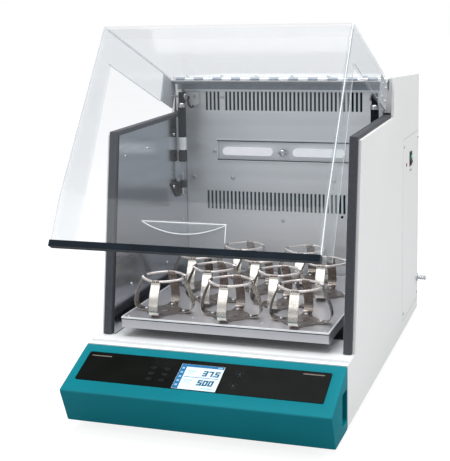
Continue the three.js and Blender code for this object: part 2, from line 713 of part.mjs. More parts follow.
/** Plate under the platform that rides on the crank pin and the idler pins. */
function platformCarrier() {
  const plate = block([-135, 135], [PLATFORM_Y - 110, PLATFORM_Y + 110], [135, 141]);
  const hub = rod('z', 17, [112, 136], [0, PLATFORM_Y], 18);
  const idlerHubs = [-IDLER_X, IDLER_X].map((x) => rod('z', 10, [112, 136], [x, PLATFORM_Y], 14));
  const topZ = PLATFORM_TOP_Z - 2 - GAP;
  const posts = [-120, 120].flatMap((x) =>
    [-95, 95].map((y) => rod('z', 9, [140, topZ], [x, PLATFORM_Y + y], 12)),
  );
  const bore = rod('z', 7.4, [110, PIN_TOP + 2], [0, PLATFORM_Y], 14);
  const idlerBores = [-IDLER_X, IDLER_X].map((x) =>
    rod('z', 5, [110, PIN_TOP + 2], [x, PLATFORM_Y], 12),
  );
  return cut(join(plate, hub, ...idlerHubs, ...posts), bore, ...idlerBores);
}

function driveMotor() {
  const can = rod('z', 38, [46, 98], [0, MOTOR_Y], 20);
  const flange = block([-50, 50], [MOTOR_Y - 45, MOTOR_Y + 45], [41, 47]);
  const legs = [-42, 42].flatMap((x) =>
    [-37, 37].map((y) => rod('z', 5, [TRAY_TOP + GAP, 42], [x, MOTOR_Y + y], 8)),
  );
  const shaft = rod('z', 4, [BELT_Z[0], 42], [0, MOTOR_Y], 10);
  return join(can, flange, ...legs, shaft);
}

/** Outline of a belt round two pulleys that lie on a line along +Y. */
function beltLoop(grow) {
  const small = MOTOR_PULLEY_RADIUS + grow;
  const large = PULLEY_RADIUS + grow;
  const lean = Math.asin((large - small) / (MOTOR_Y - DRIVE_Y));
  const shape = new THREE.Shape();
  shape.absarc(0, MOTOR_Y, small, lean, Math.PI - lean);
  shape.absarc(0, DRIVE_Y, large, Math.PI - lean, 2 * Math.PI + lean);
  return shape;
}

function driveBelt() {
  const outer = beltLoop(2.8);
  outer.holes.push(new THREE.Path(beltLoop(0.5).getPoints(10)));
  const options = { depth: BELT_Z[1] - BELT_Z[0] - 2, bevelEnabled: false, curveSegments: 10 };
  return new THREE.ExtrudeGeometry(outer, options).translate(0, 0, BELT_Z[0] + 1);
}

const motorBore = circle([0, MOTOR_Y], 4.3, 10);
add('drive_frame', driveFrame(), FINISH.iron);
add('drive_crank', driveCrank(), FINISH.iron);
add('left_idler_crank', idlerCrank(-1), FINISH.iron);
add('right_idler_crank', idlerCrank(1), FINISH.iron);
add('platform_carrier', platformCarrier(), FINISH.dullSteel);
add('drive_motor', driveMotor(), FINISH.black);
const motorRim = circle([0, MOTOR_Y], MOTOR_PULLEY_RADIUS, 16);
add('motor_pulley', prism('z', motorRim, ...BELT_Z, [motorBore]), FINISH.steel);
add('drive_belt', driveBelt(), FINISH.rubber);

// ---------------------------------------------------------------- platform and flask clamps

function platform() {
  const [wide, deep] = PLATFORM_SIZE;
  const [x, y0, y1] = [wide / 2, PLATFORM_Y - deep / 2, PLATFORM_Y + deep / 2];
  const under = PLATFORM_TOP_Z - PLATFORM_SKIRT;
  const outside = block([-x, x], [y0, y1], [under, PLATFORM_TOP_Z]);
  const inside = block([-x + 2, x - 2], [y0 + 2, y1 - 2], [under - 5, PLATFORM_TOP_Z - 2]);
  return cut(outside, inside);
}

/** One flask clamp: base plate, four bowed spring arms and the ring that draws them together. */
function flaskClamp() {
  const base = rod('z', 36, [0, 1.6], [0, 0], 12);
  const bow = softened(
    [
      [30, 1.5],
      [CLAMP_BELLY - 6, 2.5],
      [CLAMP_BELLY, 17],
      [CLAMP_RING_RADIUS + 2.2, CLAMP_RING_Z - 3],
      [CLAMP_RING_RADIUS + 2.2, CLAMP_RING_Z + 3],
    ],
    6,
    2,
  );
  const arm = band(bow, -0.7, 0.7);
  const half = 7.5;
  const arms = [0, 1, 2, 3].map((k) => prism('y', arm, -half, half).rotateZ((k * Math.PI) / 2));
  const ring = new THREE.TorusGeometry(CLAMP_RING_RADIUS, 2.6, 5, 16).translate(0, 0, CLAMP_RING_Z);
  return join(base, ...arms, ring);
}

add('platform', platform(), FINISH.steel);
let clampNumber = 0;
CLAMP_ROWS.forEach((count, row) => {
  for (let i = 0; i < count; i += 1) {
    clampNumber += 1;
    const clamp = add(`flask_clamp_${clampNumber}`, flaskClamp(), FINISH.steel);
    const x = (i - (count - 1) / 2) * CLAMP_PITCH;
    const y = PLATFORM_Y + (row - (CLAMP_ROWS.length - 1) / 2) * CLAMP_ROW_PITCH;
    clamp.position.set(x, y, PLATFORM_TOP_Z + GAP);
  }
});

// ---------------------------------------------------------------- air circulation and electrics

function fanImpeller() {
  const disc = rod('y', FAN.radius, [FAN.y[1] - 2, FAN.y[1]], [0, FAN.z], 24);
  const hub = rod('y', 12, [FAN.y[0], FAN.y[1] - 1], [0, FAN.z], 14);
  const blades = Array.from({ length: FAN.blades }, (_, i) => {
    const blade = block([FAN.radius * 0.55, FAN.radius - 2], [FAN.y[0], FAN.y[1] - 1], [-0.8, 0.8]);
    return blade.rotateY((2 * Math.PI * i) / FAN.blades).translate(0, 0, FAN.z);
  });
  const bore = rod('y', 4.3, [FAN.y[0] - 1, FAN.y[1] + 1], [0, FAN.z], 10);
  return cut(join(disc, hub, ...blades), bore);
}

function fanMotor() {
  const can = rod('y', 32, [DUCT_REAR_Y + SHEET + GAP, 430], [0, FAN.z], 18);
  const shaft = rod('y', 4, [FAN.y[0] + 1, DUCT_REAR_Y + 5], [0, FAN.z], 10);
  return join(can, shaft);
}

/** A sheathed heating element bent into a hairpin, with both ends through the duct's back. */
function heaterElement() {
  const x = 130;
  const [low, high] = [335, 445];
  const y = 350;
  const path = new THREE.CurvePath();
  const corners = [
    [-x, DUCT_REAR_Y - 1, low],
    [-x, y, low],
    [x, y, low],
    [x, y, high],
    [-x, y, high],
    [-x, DUCT_REAR_Y - 1, high],
  ].map((p) => new THREE.Vector3(...p));
  const bend = 14;
  const toward = (a, b, d) => a.clone().add(b.clone().sub(a).setLength(d));
  let from = corners[0];
  for (let i = 1; i < corners.length - 1; i += 1) {
    const start = toward(corners[i], corners[i - 1], bend);
    const end = toward(corners[i], corners[i + 1], bend);
    path.add(new THREE.LineCurve3(from, start));
    path.add(new THREE.QuadraticBezierCurve3(start, corners[i], end));
    from = end;
  }
  path.add(new THREE.LineCurve3(from, corners[corners.length - 1]));
  const options = { steps: 44, extrudePath: path, bevelEnabled: false };
  return new THREE.ExtrudeGeometry(shapeOf(circle([0, 0], 4, 8)), options);
}

function switchHousing() {
  const inset = 0.4;
  const [y0, y1] = SWITCH.y;
  const [z0, z1] = SWITCH.z;
  const body = block([190, WIDTH / 2 + 1], [y0 + inset, y1 - inset], [z0 + inset, z1 - inset]);
  const well = block([200, WIDTH], [y0 + 4, y1 - 4], [z0 + 4, z1 - 4]);
  return cut(body, well);
}

/** Rocker cap, drawn about its pivot: two flats that meet in a shallow valley. */
function powerRocker() {
  const section = [[-8, -4], [-3, -8.5], [3.6, -8.5], [2, 0], [3.6, 8.5], [-3, 8.5], [-8, 4]];
  const half = 10.5;
  return prism('y', section, -half, half);
}

function drainNipple() {
  const profile = [[1.5, -14], [4.5, -14], [4.5, 0.3], [8.5, 0.3], [8.5, 3], [3.6, 4],
    [3.6, 7], [5, 9.5], [3.6, 11], [5, 13.5], [3.6, 15], [5, 17.5], [3.8, 20], [1.5, 20]];
  const outline = [...profile, profile[0]].map(([r, x]) => new THREE.Vector2(r, x));
  return new THREE.LatheGeometry(outline, 14).rotateZ(-Math.PI / 2);
}

function mainsInlet() {
  const [x0, x1] = INLET.x;
  const [z0, z1] = INLET.z;
  const body = block([x0 + 0.5, x1 - 0.5], [REAR_Y - 30, REAR_Y], [z0 + 0.5, z1 - 0.5]);
  const rim = block([x0 - 4, x1 + 4], [REAR_Y + GAP, REAR_Y + 3], [z0 - 4, z1 + 4]);
  const neck = block([x0 + 1, x1 - 1], [REAR_Y - 1, REAR_Y + 2], [z0 + 1, z1 - 1]);
  const socket = block([x0 + 12, x1 - 12], [REAR_Y - 18, REAR_Y + 10], [z0 + 7, z1 - 7]);
  return cut(join(body, rim, neck), socket);
}

add('fan_impeller', fanImpeller(), FINISH.steel);
add('fan_motor', fanMotor(), FINISH.black);
add('heater_element', heaterElement(), FINISH.steel);
add('power_switch_housing', switchHousing(), FINISH.black);
const rocker = add('power_rocker', powerRocker(), FINISH.black);
rocker.position.set(214, (SWITCH.y[0] + SWITCH.y[1]) / 2, (SWITCH.z[0] + SWITCH.z[1]) / 2);
rocker.rotation.y = -ROCKER_TILT;
const nipple = add('drain_nipple', drainNipple(), FINISH.steel);
nipple.position.set(WIDTH / 2, DRAIN.y, DRAIN.z);
add('mains_inlet', mainsInlet(), FINISH.black);

// ---------------------------------------------------------------- origin

shaker.updateMatrixWorld(true);
const whole = new THREE.Box3().setFromObject(shaker, true);
const middle = whole.getCenter(new THREE.Vector3());
shaker.position.set(-middle.x, -middle.y, -whole.min.z);

export default shaker;
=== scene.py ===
import math

import bmesh
import bpy
from mathutils import Matrix, Vector


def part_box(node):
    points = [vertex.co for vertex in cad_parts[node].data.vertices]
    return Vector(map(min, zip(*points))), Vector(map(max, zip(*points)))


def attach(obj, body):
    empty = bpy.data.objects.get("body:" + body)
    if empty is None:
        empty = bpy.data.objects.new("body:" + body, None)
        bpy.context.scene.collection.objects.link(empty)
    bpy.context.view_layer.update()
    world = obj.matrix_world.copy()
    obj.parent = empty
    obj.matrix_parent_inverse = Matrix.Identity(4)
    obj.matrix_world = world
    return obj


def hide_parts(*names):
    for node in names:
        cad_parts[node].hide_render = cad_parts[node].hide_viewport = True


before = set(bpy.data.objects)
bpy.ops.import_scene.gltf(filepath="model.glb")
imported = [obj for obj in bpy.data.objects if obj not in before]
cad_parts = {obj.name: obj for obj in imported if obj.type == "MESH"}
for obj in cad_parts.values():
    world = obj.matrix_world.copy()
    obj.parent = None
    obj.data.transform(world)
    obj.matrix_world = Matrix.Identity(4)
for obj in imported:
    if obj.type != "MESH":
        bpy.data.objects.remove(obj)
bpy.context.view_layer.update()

# ------------------------------------------------------------------ place and size
# Shapes are given in millimetres in the cabinet's own frame: x = 0 is its middle plane, y = 0 the
# top front corner of the chamber walls and z = 0 the bench. at() turns that into the frame of the
# CAD nodes, in metres. Only the lamps and the floor are given in that frame, in metres.

TRAY_FRONT_Y = -104.0
tray_low, tray_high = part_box("base_tray")
SHIFT = Vector((
    (tray_low[0] + tray_high[0]) / 2,
    tray_low[1] - TRAY_FRONT_Y / 1000,
    0.0,
))


def at(x, y, z):
    return Vector((x, y, z)) / 1000 + SHIFT


HALF = 215.0  # half the cabinet's width
CHAMBER_HALF = 195.0  # from the middle to the face of a chamber wall
BACK_Y = 315.0  # face of the slotted back wall
REAR_Y = 600.0  # outside of the rear panel
FRONT_Y, SILL_Z = -105.0, 117.0  # where the bezel's slope meets the sill
CREASE = (-210.0, 74.0)  # bezel's front edge, y and z
TOE = (-185.0, 17.0)  # bezel's lower edge, y and z
PLATFORM_Z = 150.7  # top of the platform
PLATFORM_Y = 123.5  # middle of the clamps
HINGE = (295.0, 522.0)  # lid hinge axis, y and z
LID_OPEN = math.radians(21)
LID_HALF = 206.0  # half the lid's width
STRUT_X, STRUT_Y = 185.0, 268.0  # gas strut's middle line
STRUT_TOP = 491.0  # upper stud of a strut

# ------------------------------------------------------------------ materials

MATERIALS = {}
GRAIN_DEPTH = 0.0002  # metres, of the bump in every finish


def new_material(name):
    material = bpy.data.materials.new(name)
    material.use_nodes = True
    tree = material.node_tree
    tree.nodes.clear()
    output = tree.nodes.new("ShaderNodeOutputMaterial")
    MATERIALS[name] = material
    return tree, output


def noise(tree, scale, detail=3.0, stretch=(1, 1, 1)):
    """A noise value in object space, at so many cells a metre."""
    coords = tree.nodes.new("ShaderNodeTexCoord")
    mapping = tree.nodes.new("ShaderNodeMapping")
    mapping.inputs["Scale"].default_value = stretch
    texture = tree.nodes.new("ShaderNodeTexNoise")
    texture.inputs["Scale"].default_value = scale
    texture.inputs["Detail"].default_value = detail
    tree.links.new(coords.outputs["Object"], mapping.inputs["Vector"])
    tree.links.new(mapping.outputs["Vector"], texture.inputs["Vector"])
    return texture.outputs["Fac"]


def spread(tree, value, low, high, near=0.3, far=0.7):
    """Turns values from near to far into values from low to high."""
    node = tree.nodes.new("ShaderNodeMapRange")
    node.inputs["From Min"].default_value = near
    node.inputs["From Max"].default_value = far
    node.inputs["To Min"].default_value = low
    node.inputs["To Max"].default_value = high
    tree.links.new(value, node.inputs["Value"])
    return node.outputs["Result"]


def tint(tree, value, dark, light):
    """A colour between dark and light, as the value says."""
    ramp = tree.nodes.new("ShaderNodeValToRGB")
    ramp.color_ramp.elements[0].position = 0.32
    ramp.color_ramp.elements[1].position = 0.68
    ramp.color_ramp.elements[0].color = (*dark, 1)
    ramp.color_ramp.elements[1].color = (*light, 1)
    tree.links.new(value, ramp.inputs["Fac"])
    return ramp.outputs["Color"]


def surface(name, color, rough, metal=0.0, vary=0.05, cells=40, stretch=(1, 1, 1),
            rough_vary=0.06, bump=0.05, grain=900, grain_stretch=(1, 1, 1), glow=0.0, edge=0.0,
            gloss=0.5):
    """A finish with slow colour change, uneven roughness, a fine grain and lighter edges, a painted
    highlight.
    """
    tree, output = new_material(name)
    shader = tree.nodes.new("ShaderNodeBsdfPrincipled")
    slow = noise(tree, cells, 4.0, stretch)
    dark = [c * (1 - vary) for c in color]
    light = [min(1.0, c * (1 + vary)) for c in color]
    shade = tint(tree, slow, dark, light)
    # Lighter colour where the surface is pointy: a painted highlight along edges.
    if edge:
        geometry = tree.nodes.new("ShaderNodeNewGeometry")
        edge_highlight = spread(tree, geometry.outputs["Pointiness"], 0.0, edge, 0.52, 0.6)
        mix = tree.nodes.new("ShaderNodeMixRGB")
        mix.inputs["Color2"].default_value = (*[min(1.0, c * 1.3 + 0.05) for c in color], 1)
        tree.links.new(edge_highlight, mix.inputs["Fac"])
        tree.links.new(shade, mix.inputs["Color1"])
        shade = mix.outputs["Color"]
    tree.links.new(shade, shader.inputs["Base Color"])
    fine = noise(tree, grain, 2.0, grain_stretch)
    tree.links.new(spread(tree, fine, rough - rough_vary, rough + rough_vary),
                   shader.inputs["Roughness"])
    relief = tree.nodes.new("ShaderNodeBump")
    relief.inputs["Strength"].default_value = bump
    relief.inputs["Distance"].default_value = GRAIN_DEPTH
    tree.links.new(fine, relief.inputs["Height"])
    tree.links.new(relief.outputs["Normal"], shader.inputs["Normal"])
    shader.inputs["Metallic"].default_value = metal
    shader.inputs["Specular IOR Level"].default_value = gloss
    if glow:
        tree.links.new(shade, shader.inputs["Emission Color"])
        shader.inputs["Emission Strength"].default_value = glow
    tree.links.new(shader.outputs["BSDF"], output.inputs["Surface"])


def clear_acrylic(name, through, haze=0.0, ends=0.0):
    """Clear sheet: hazy see-through faces with a mirror sheen, and denser cut ends facing along x."""
    tree, output = new_material(name)
    clear = tree.nodes.new("ShaderNodeBsdfTransparent")
    clear.inputs["Color"].default_value = (*through, 1)
    sheen = tree.nodes.new("ShaderNodeBsdfGlossy")
    smudge = noise(tree, 14, 3.0)
    tree.links.new(spread(tree, smudge, 0.02, 0.07), sheen.inputs["Roughness"])
    weight = tree.nodes.new("ShaderNodeLayerWeight")
    power = tree.nodes.new("ShaderNodeMath")
    power.operation = "POWER"
    power.inputs[1].default_value = 4.0
    tree.links.new(weight.outputs["Facing"], power.inputs[0])
    pane = tree.nodes.new("ShaderNodeMixShader")
    tree.links.new(spread(tree, power.outputs["Value"], 0.016, 0.10, 0.0, 1.0), pane.inputs["Fac"])
    tree.links.new(clear.outputs["BSDF"], pane.inputs[1])
    tree.links.new(sheen.outputs["BSDF"], pane.inputs[2])
    cut = tree.nodes.new("ShaderNodeBsdfPrincipled")
    tree.links.new(tint(tree, noise(tree, 60), (0.62, 0.67, 0.70), (0.78, 0.82, 0.84)),
                   cut.inputs["Base Color"])
    cut.inputs["Roughness"].default_value = 0.2
    geometry = tree.nodes.new("ShaderNodeNewGeometry")
    parts = tree.nodes.new("ShaderNodeSeparateXYZ")
    tree.links.new(geometry.outputs["True Normal"], parts.inputs["Vector"])
    size = tree.nodes.new("ShaderNodeMath")
    size.operation = "ABSOLUTE"
    tree.links.new(parts.outputs["X"], size.inputs[0])
    whole = tree.nodes.new("ShaderNodeMixShader")
    tree.links.new(spread(tree, size.outputs["Value"], haze, max(haze, ends), 0.85, 0.95),
                   whole.inputs["Fac"])
    tree.links.new(pane.outputs["Shader"], whole.inputs[1])
    tree.links.new(cut.outputs["BSDF"], whole.inputs[2])
    tree.links.new(whole.outputs["Shader"], output.inputs["Surface"])


ALONG_X = (0.02, 1, 1)  # brushed along x
ALONG_Y = (1, 0.02, 1)

surface("white_paint", (0.78, 0.78, 0.77), 0.45, vary=0.012, cells=6, bump=0.12, grain=1400)
surface("white_trim", (0.82, 0.83, 0.83), 0.35, vary=0.015, cells=8, bump=0.08, grain=1400)
surface("teal", (0.0, 0.172, 0.212), 0.42, vary=0.05, cells=9, bump=0.14, grain=2200, gloss=0.035,
        edge=0.5)
# Darker teal for the finger recesses: painted shade.
surface("recess", (0.003, 0.075, 0.09), 0.5, vary=0.08, bump=0.1)
surface("black_glass", (0.005, 0.006, 0.005), 0.16, vary=0.2, cells=20, rough_vary=0.03, bump=0.01,
        grain=60, gloss=0.02)
surface("screen_white", (0.62, 0.74, 0.80), 0.3, vary=0.03, cells=90, bump=0.01, glow=0.12, gloss=0.1)
surface("screen_blue", (0.01, 0.12, 0.27), 0.3, vary=0.08, cells=90, bump=0.01, glow=0.3, gloss=0.1)
surface("screen_pale", (0.28, 0.47, 0.62), 0.3, vary=0.08, cells=90, bump=0.01, glow=0.12, gloss=0.1)
surface("screen_digit", (0.01, 0.13, 0.24), 0.3, vary=0.08, cells=90, bump=0.01, glow=0.1, gloss=0.1)
surface("icon", (0.020, 0.027, 0.028), 0.3, vary=0.1, cells=300, bump=0.02, gloss=0.1)
surface("mark", (0.20, 0.165, 0.145), 0.35, vary=0.15, cells=500, bump=0.02, gloss=0.1)
surface("stainless_x", (0.77, 0.79, 0.81), 0.42, 0.72, vary=0.05, cells=50, stretch=ALONG_X,
        rough_vary=0.08, bump=0.06, grain=500, grain_stretch=ALONG_X)
surface("stainless_y", (0.58, 0.61, 0.65), 0.20, 1.0, vary=0.05, cells=40, stretch=ALONG_Y,
        rough_vary=0.05, bump=0.04, grain=500, grain_stretch=ALONG_Y)
surface("platform_steel", (0.53, 0.52, 0.545), 0.36, 0.85, 0.025, 30, rough_vary=0.05, bump=0.03,
        grain=1500, edge=0.3)
surface("platform_top", (0.52, 0.51, 0.53), 0.40, 0.8, 0.03, 12, rough_vary=0.05, bump=0.04,
        grain=1500)
# Near-white for the platform's top edge: a painted highlight.
surface("painted_highlight_edge", (0.92, 0.92, 0.92), 0.35, 0.3, 0.03, 60, bump=0.03, grain=900)
surface("spring_steel", (0.60, 0.575, 0.53), 0.24, 1.0, 0.08, 120, rough_vary=0.06, bump=0.04,
        grain=600)
# Darker copy of the spring steel for the arms' inner faces and ring loops: painted shade.
surface("spring_inside", (0.24, 0.21, 0.19), 0.26, 1.0, 0.12, 120, rough_vary=0.06, bump=0.04,
        grain=600)
surface("ring_wire", (0.82, 0.76, 0.73), 0.34, 0.8, 0.08, 200, rough_vary=0.08, bump=0.2,
        grain=1200)
surface("clamp_base", (0.25, 0.22, 0.215), 0.40, 0.9, 0.16, 90, rough_vary=0.1, bump=0.08, grain=500)
surface("plated", (0.62, 0.63, 0.65), 0.28, 1.0, 0.08, 150, rough_vary=0.1, bump=0.05, grain=700)
surface("gasket", (0.045, 0.048, 0.058), 0.62, vary=0.14, cells=200, bump=0.5, grain=1300)
surface("dark_bar", (0.008, 0.013, 0.020), 0.35, vary=0.2, cells=30, bump=0.02, gloss=0.06)
surface("black_steel", (0.010, 0.012, 0.016), 0.3, vary=0.2, cells=60, bump=0.04, gloss=0.08)
# Mid grey: the lid's rear frame is white paint darkened as painted shade; also the service panel's
# seam lines.
surface("seam_and_shade_grey", (0.38, 0.40, 0.42), 0.45, vary=0.03, cells=20, bump=0.1, grain=1400)
# Near-white, faintly glowing lines along clear edges: painted highlights.
surface("clear_line", (0.88, 0.90, 0.91), 0.25, vary=0.03, cells=60, bump=0.03, glow=0.08)
surface("hinge_steel", (0.26, 0.29, 0.33), 0.42, 0.85, 0.1, 120, bump=0.05, grain=700)
# Near-black slot backing with a teal tint: painted shade, and a painted reflection in the tint.
surface("slot_shade_teal_reflection", (0.010, 0.050, 0.072), 0.6, vary=0.3, cells=30, bump=0.1, gloss=0.1)
surface("black_plastic", (0.014, 0.015, 0.017), 0.42, vary=0.15, cells=80, bump=0.3, grain=1500)
surface("rubber", (0.018, 0.018, 0.019), 0.75, vary=0.2, cells=120, bump=0.5, grain=1100)
surface("label", (0.78, 0.79, 0.80), 0.4, vary=0.04, cells=160, bump=0.03)
surface("lamp", (0.80, 0.81, 0.83), 0.3, vary=0.03, cells=60, bump=0.02, glow=0.4)
surface("board", (0.02, 0.13, 0.06), 0.45, vary=0.2, cells=260, bump=0.3, grain=600)
surface("cast_iron", (0.16, 0.17, 0.18), 0.5, 0.9, 0.15, 90, bump=0.5, grain=500)
surface("cast_aluminium", (0.5, 0.51, 0.53), 0.45, 1.0, 0.1, 80, bump=0.4, grain=600)
surface("motor_black", (0.02, 0.02, 0.022), 0.45, vary=0.2, cells=70, bump=0.3, grain=700)
surface("green_lamp", (0.01, 0.30, 0.13), 0.2, vary=0.1, cells=200, bump=0.02, glow=0.5)
surface("red_mark", (0.45, 0.06, 0.05), 0.35, vary=0.1, cells=200, bump=0.02)
# Near-black for the slot backs, the lamp recess lines and holes, and the platform's seam: painted
# shade.
surface("shade_dark", (0.008, 0.028, 0.040), 0.6, vary=0.3, cells=30, bump=0.1, gloss=0.1)

clear_acrylic("acrylic", (0.950, 0.955, 0.962), 0.015, 0.5)
clear_acrylic("acrylic_side", (0.962, 0.970, 0.976), 0.09, 0.09)
clear_acrylic("acrylic_edge", (0.92, 0.935, 0.945), 0.35, 0.35)
clear_acrylic("acrylic_pull", (0.965, 0.972, 0.978), 0.05, 0.05)

NODE_FINISH = {
    "base_tray": "plated", "chamber_liner": "stainless_y", "control_board": "board",
    "display_glass": "black_glass", "screen_module": "screen_white", "drain_nipple": "plated",
    "drive_belt": "rubber", "drive_crank": "cast_iron", "drive_frame": "cast_aluminium",
    "drive_motor": "motor_black", "duct_back_panel": "shade_dark", "fan_impeller": "cast_aluminium",
    "fan_motor": "motor_black", "front_sill": "white_trim", "heater_element": "stainless_x",
    "hinge_fixed_leaf": "hinge_steel", "hinge_moving_leaf": "plated", "left_gasket": "gasket",
    "right_gasket": "gasket", "left_idler_crank": "cast_iron", "right_idler_crank": "cast_iron",
    "left_lamp": "lamp", "right_lamp": "lamp", "left_side_panel": "white_paint",
    "right_side_panel": "white_paint", "left_strut_cylinder": "black_steel",
    "right_strut_cylinder": "black_steel", "left_strut_rod": "plated",
    "right_strut_rod": "plated", "lid_bottom_bar": "dark_bar", "lid_canopy": "acrylic",
    "lid_left_side": "acrylic_side", "lid_right_side": "acrylic_side",
    # the lid's rear frame is white; its grey here is painted shade
    "lid_rear_frame": "seam_and_shade_grey", "louvre_panel": "stainless_x", "mains_inlet": "black_plastic",
    "motor_pulley": "cast_aluminium", "platform": "platform_steel",
    "platform_carrier": "cast_aluminium", "power_rocker": "black_plastic",
    "power_switch_housing": "black_plastic", "rear_panel": "white_paint",
    "service_panel": "white_paint", "top_cover": "white_paint",
    "front_left_foot": "rubber", "front_right_foot": "rubber",
    "rear_left_foot": "rubber", "rear_right_foot": "rubber",
}
for node, finish in NODE_FINISH.items():
    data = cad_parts[node].data
    data.materials.clear()
    data.materials.append(MATERIALS[finish])

EASED = {  # how far the edges of CAD nodes are rounded, in millimetres
    "platform": 0.8, "front_sill": 0.5, "lid_bottom_bar": 1.6, "left_gasket": 1.0,
    "right_gasket": 1.0, "power_rocker": 0.6, "mains_inlet": 0.8, "lid_rear_frame": 0.3,
    "service_panel": 0.3,
}
for node, width in EASED.items():
    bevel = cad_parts[node].modifiers.new("eased", "BEVEL")
    bevel.width = width / 1000
    bevel.segments = 2
    bevel.limit_method = "ANGLE"
    bevel.angle_limit = math.radians(35)

# ------------------------------------------------------------------ building pieces


class Piece:
    """One mesh, put together from simple solids in cabinet millimetres.

    move turns a solid's own millimetres into the cabinet's, and use says which material comes next.
    """

    def __init__(self, *materials):
        self.materials = materials
        self.mesh = bmesh.new()
        self.index = 0
        self.move = Matrix.Identity(4)

    def use(self, name):
        self.index = self.materials.index(name)
        return self

    def faces(self, points, faces):
        verts = [self.mesh.verts.new(self.move @ Vector(p)) for p in points]
        for face in faces:
            made = self.mesh.faces.new([verts[i] for i in face])
            made.material_index = self.index
        return self

    def rings(self, rings, closed=False, capped=True):
        """A skin over a list of rings with the same number of points."""
        count = len(rings[0])
        points = [p for ring in rings for p in ring]
        faces = []
        last = len(rings) if closed else len(rings) - 1
        for i in range(last):
            a, b = i * count, ((i + 1) % len(rings)) * count
            faces += [(a + k, a + (k + 1) % count, b + (k + 1) % count, b + k)
                      for k in range(count)]
        if capped and not closed:
            faces.append(tuple(reversed(range(count))))
            faces.append(tuple(range(last * count, (last + 1) * count)))
        return self.faces(points, faces)

    def box(self, x, y, z):
        return self.prism([(x[0], y[0], z[0]), (x[1], y[0], z[0]), (x[1], y[1], z[0]),
                           (x[0], y[1], z[0])], (0, 0, z[1] - z[0]))

    def prism(self, outline, along):
        along = Vector(along)
        low = [Vector(p) for p in outline]
        return self.rings([low, [p + along for p in low]])

    def lathe(self, profile, origin, axis, sides=24):
        """A solid of revolution: profile is (radius, distance along the axis) pairs."""
        axis = Vector(axis).normalized()
        side = axis.orthogonal().normalized()
        other = axis.cross(side)
        origin = Vector(origin)
        rings = []
        for radius, along in profile:
            rings.append([
                origin + axis * along
                + (side * math.cos(t) + other * math.sin(t)) * max(radius, 0.01)
                for t in (2 * math.pi * k / sides for k in range(sides))
            ])
        return self.rings(rings)

    def tube(self, path, radius, sides, closed=False):
        """A round tube along a path."""
        points = [Vector(p) for p in path]
        count = len(points)
        rings = []
        side = None
        for i, p in enumerate(points):
            before = points[i - 1] if closed or i else p
            after = points[(i + 1) % count] if closed or i < count - 1 else p
            along = (after - before).normalized()
            if side is None:
                side = along.orthogonal()
            side = (side - along * side.dot(along)).normalized()
            other = along.cross(side)
            rings.append([
                p + (side * math.cos(t) + other * math.sin(t)) * radius
                for t in (2 * math.pi * k / sides for k in range(sides))
            ])
        return self.rings(rings, closed=closed)

    def screw(self, origin, axis, radius):
        """A domed head with a socket, standing on origin and facing along the axis."""
        r = radius
        profile = [(0, -0.2), (r, -0.2), (r, 0.25 * r), (0.86 * r, 0.45 * r), (0.5 * r, 0.58 * r),
                   (0.42 * r, 0.56 * r), (0.38 * r, 0.2 * r), (0, 0.2 * r)]
        return self.lathe(profile, origin, axis, 16)

    def done(self, name, body, bevel=0.0, smooth=35, slot=None):
        """Makes the object, which rides on the body, with its edges eased by bevel millimetres."""
        bmesh.ops.recalc_face_normals(self.mesh, faces=self.mesh.faces)
        for vert in self.mesh.verts:
            vert.co = at(*vert.co)
        data = bpy.data.meshes.new(name)
        self.mesh.to_mesh(data)
        self.mesh.free()
        for material in self.materials:
            data.materials.append(MATERIALS[material])
        for polygon in data.polygons:
            polygon.use_smooth = True
        data.set_sharp_from_angle(angle=math.radians(smooth))
        piece = bpy.data.objects.new(name, data)
        bpy.context.scene.collection.objects.link(piece)
        if bevel:
            modifier = piece.modifiers.new("eased", "BEVEL")
            modifier.width = bevel / 1000
            modifier.segments = 2
            modifier.limit_method = "ANGLE"
            modifier.angle_limit = math.radians(30)
        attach(piece, body)
        return piece


def bake_modifiers(piece):
    """Replaces a piece's mesh by what its modifiers make of it."""
    graph = bpy.context.evaluated_depsgraph_get()
    data = bpy.data.meshes.new_from_object(piece.evaluated_get(graph))
    piece.modifiers.clear()
    piece.data = data


SIDES = (("left", -1), ("right", 1))


def rectangle(x, y, grow=0.0):
    """The four corners of a rectangle, moved out by grow."""
    return [(x[0] - grow, y[0] - grow), (x[1] + grow, y[0] - grow), (x[1] + grow, y[1] + grow),
            (x[0] - grow, y[1] + grow)]


def rounded(points, radius, steps=5):
    """The outline with each corner turned into an arc; radius may differ from corner to corner."""
    out = []
    count = len(points)
    for i, p in enumerate(points):
        p = Vector(p)
        before = (Vector(points[i - 1]) - p).normalized()
        after = (Vector(points[(i + 1) % count]) - p).normalized()
        r = radius[i] if isinstance(radius, (list, tuple)) else radius
        reach = r / math.tan(before.angle(after) / 2)
        a, b = p + before * reach, p + after * reach
        for k in range(steps + 1):
            t = k / steps
            out.append(a * (1 - t) ** 2 + p * 2 * t * (1 - t) + b * t ** 2)
    return out


# ------------------------------------------------------------------ control bezel

SLOPE = math.atan2(SILL_Z - CREASE[1], FRONT_Y - CREASE[0])
ON_SLOPE = Matrix.Translation((0, FRONT_Y, SILL_Z)) @ Matrix.Rotation(SLOPE, 4, "X")
GLASS_X, GLASS_Y = (-200.0, 196.0), (-85.5, -19.5)  # y is 0 at the slope's top edge
GLASS_ROOM = 0.8  # the glass's recess is this much larger all round
WELL_X, WELL_Y = (-60, 60), (-84.8, -23.5)  # hole behind the glass for the screen module
GRIP_Y, GRIP_Z, GRIP_DEPTH = (-142, -111), (34, 84), 12  # finger recess in each end
END_ROUNDING = ((0.0, 2.2), (0.6, 0.9), (2.2, 0.0))  # distance from the end, and how far in
SECTION_MIDDLE = Vector((-150.0, 62.0))


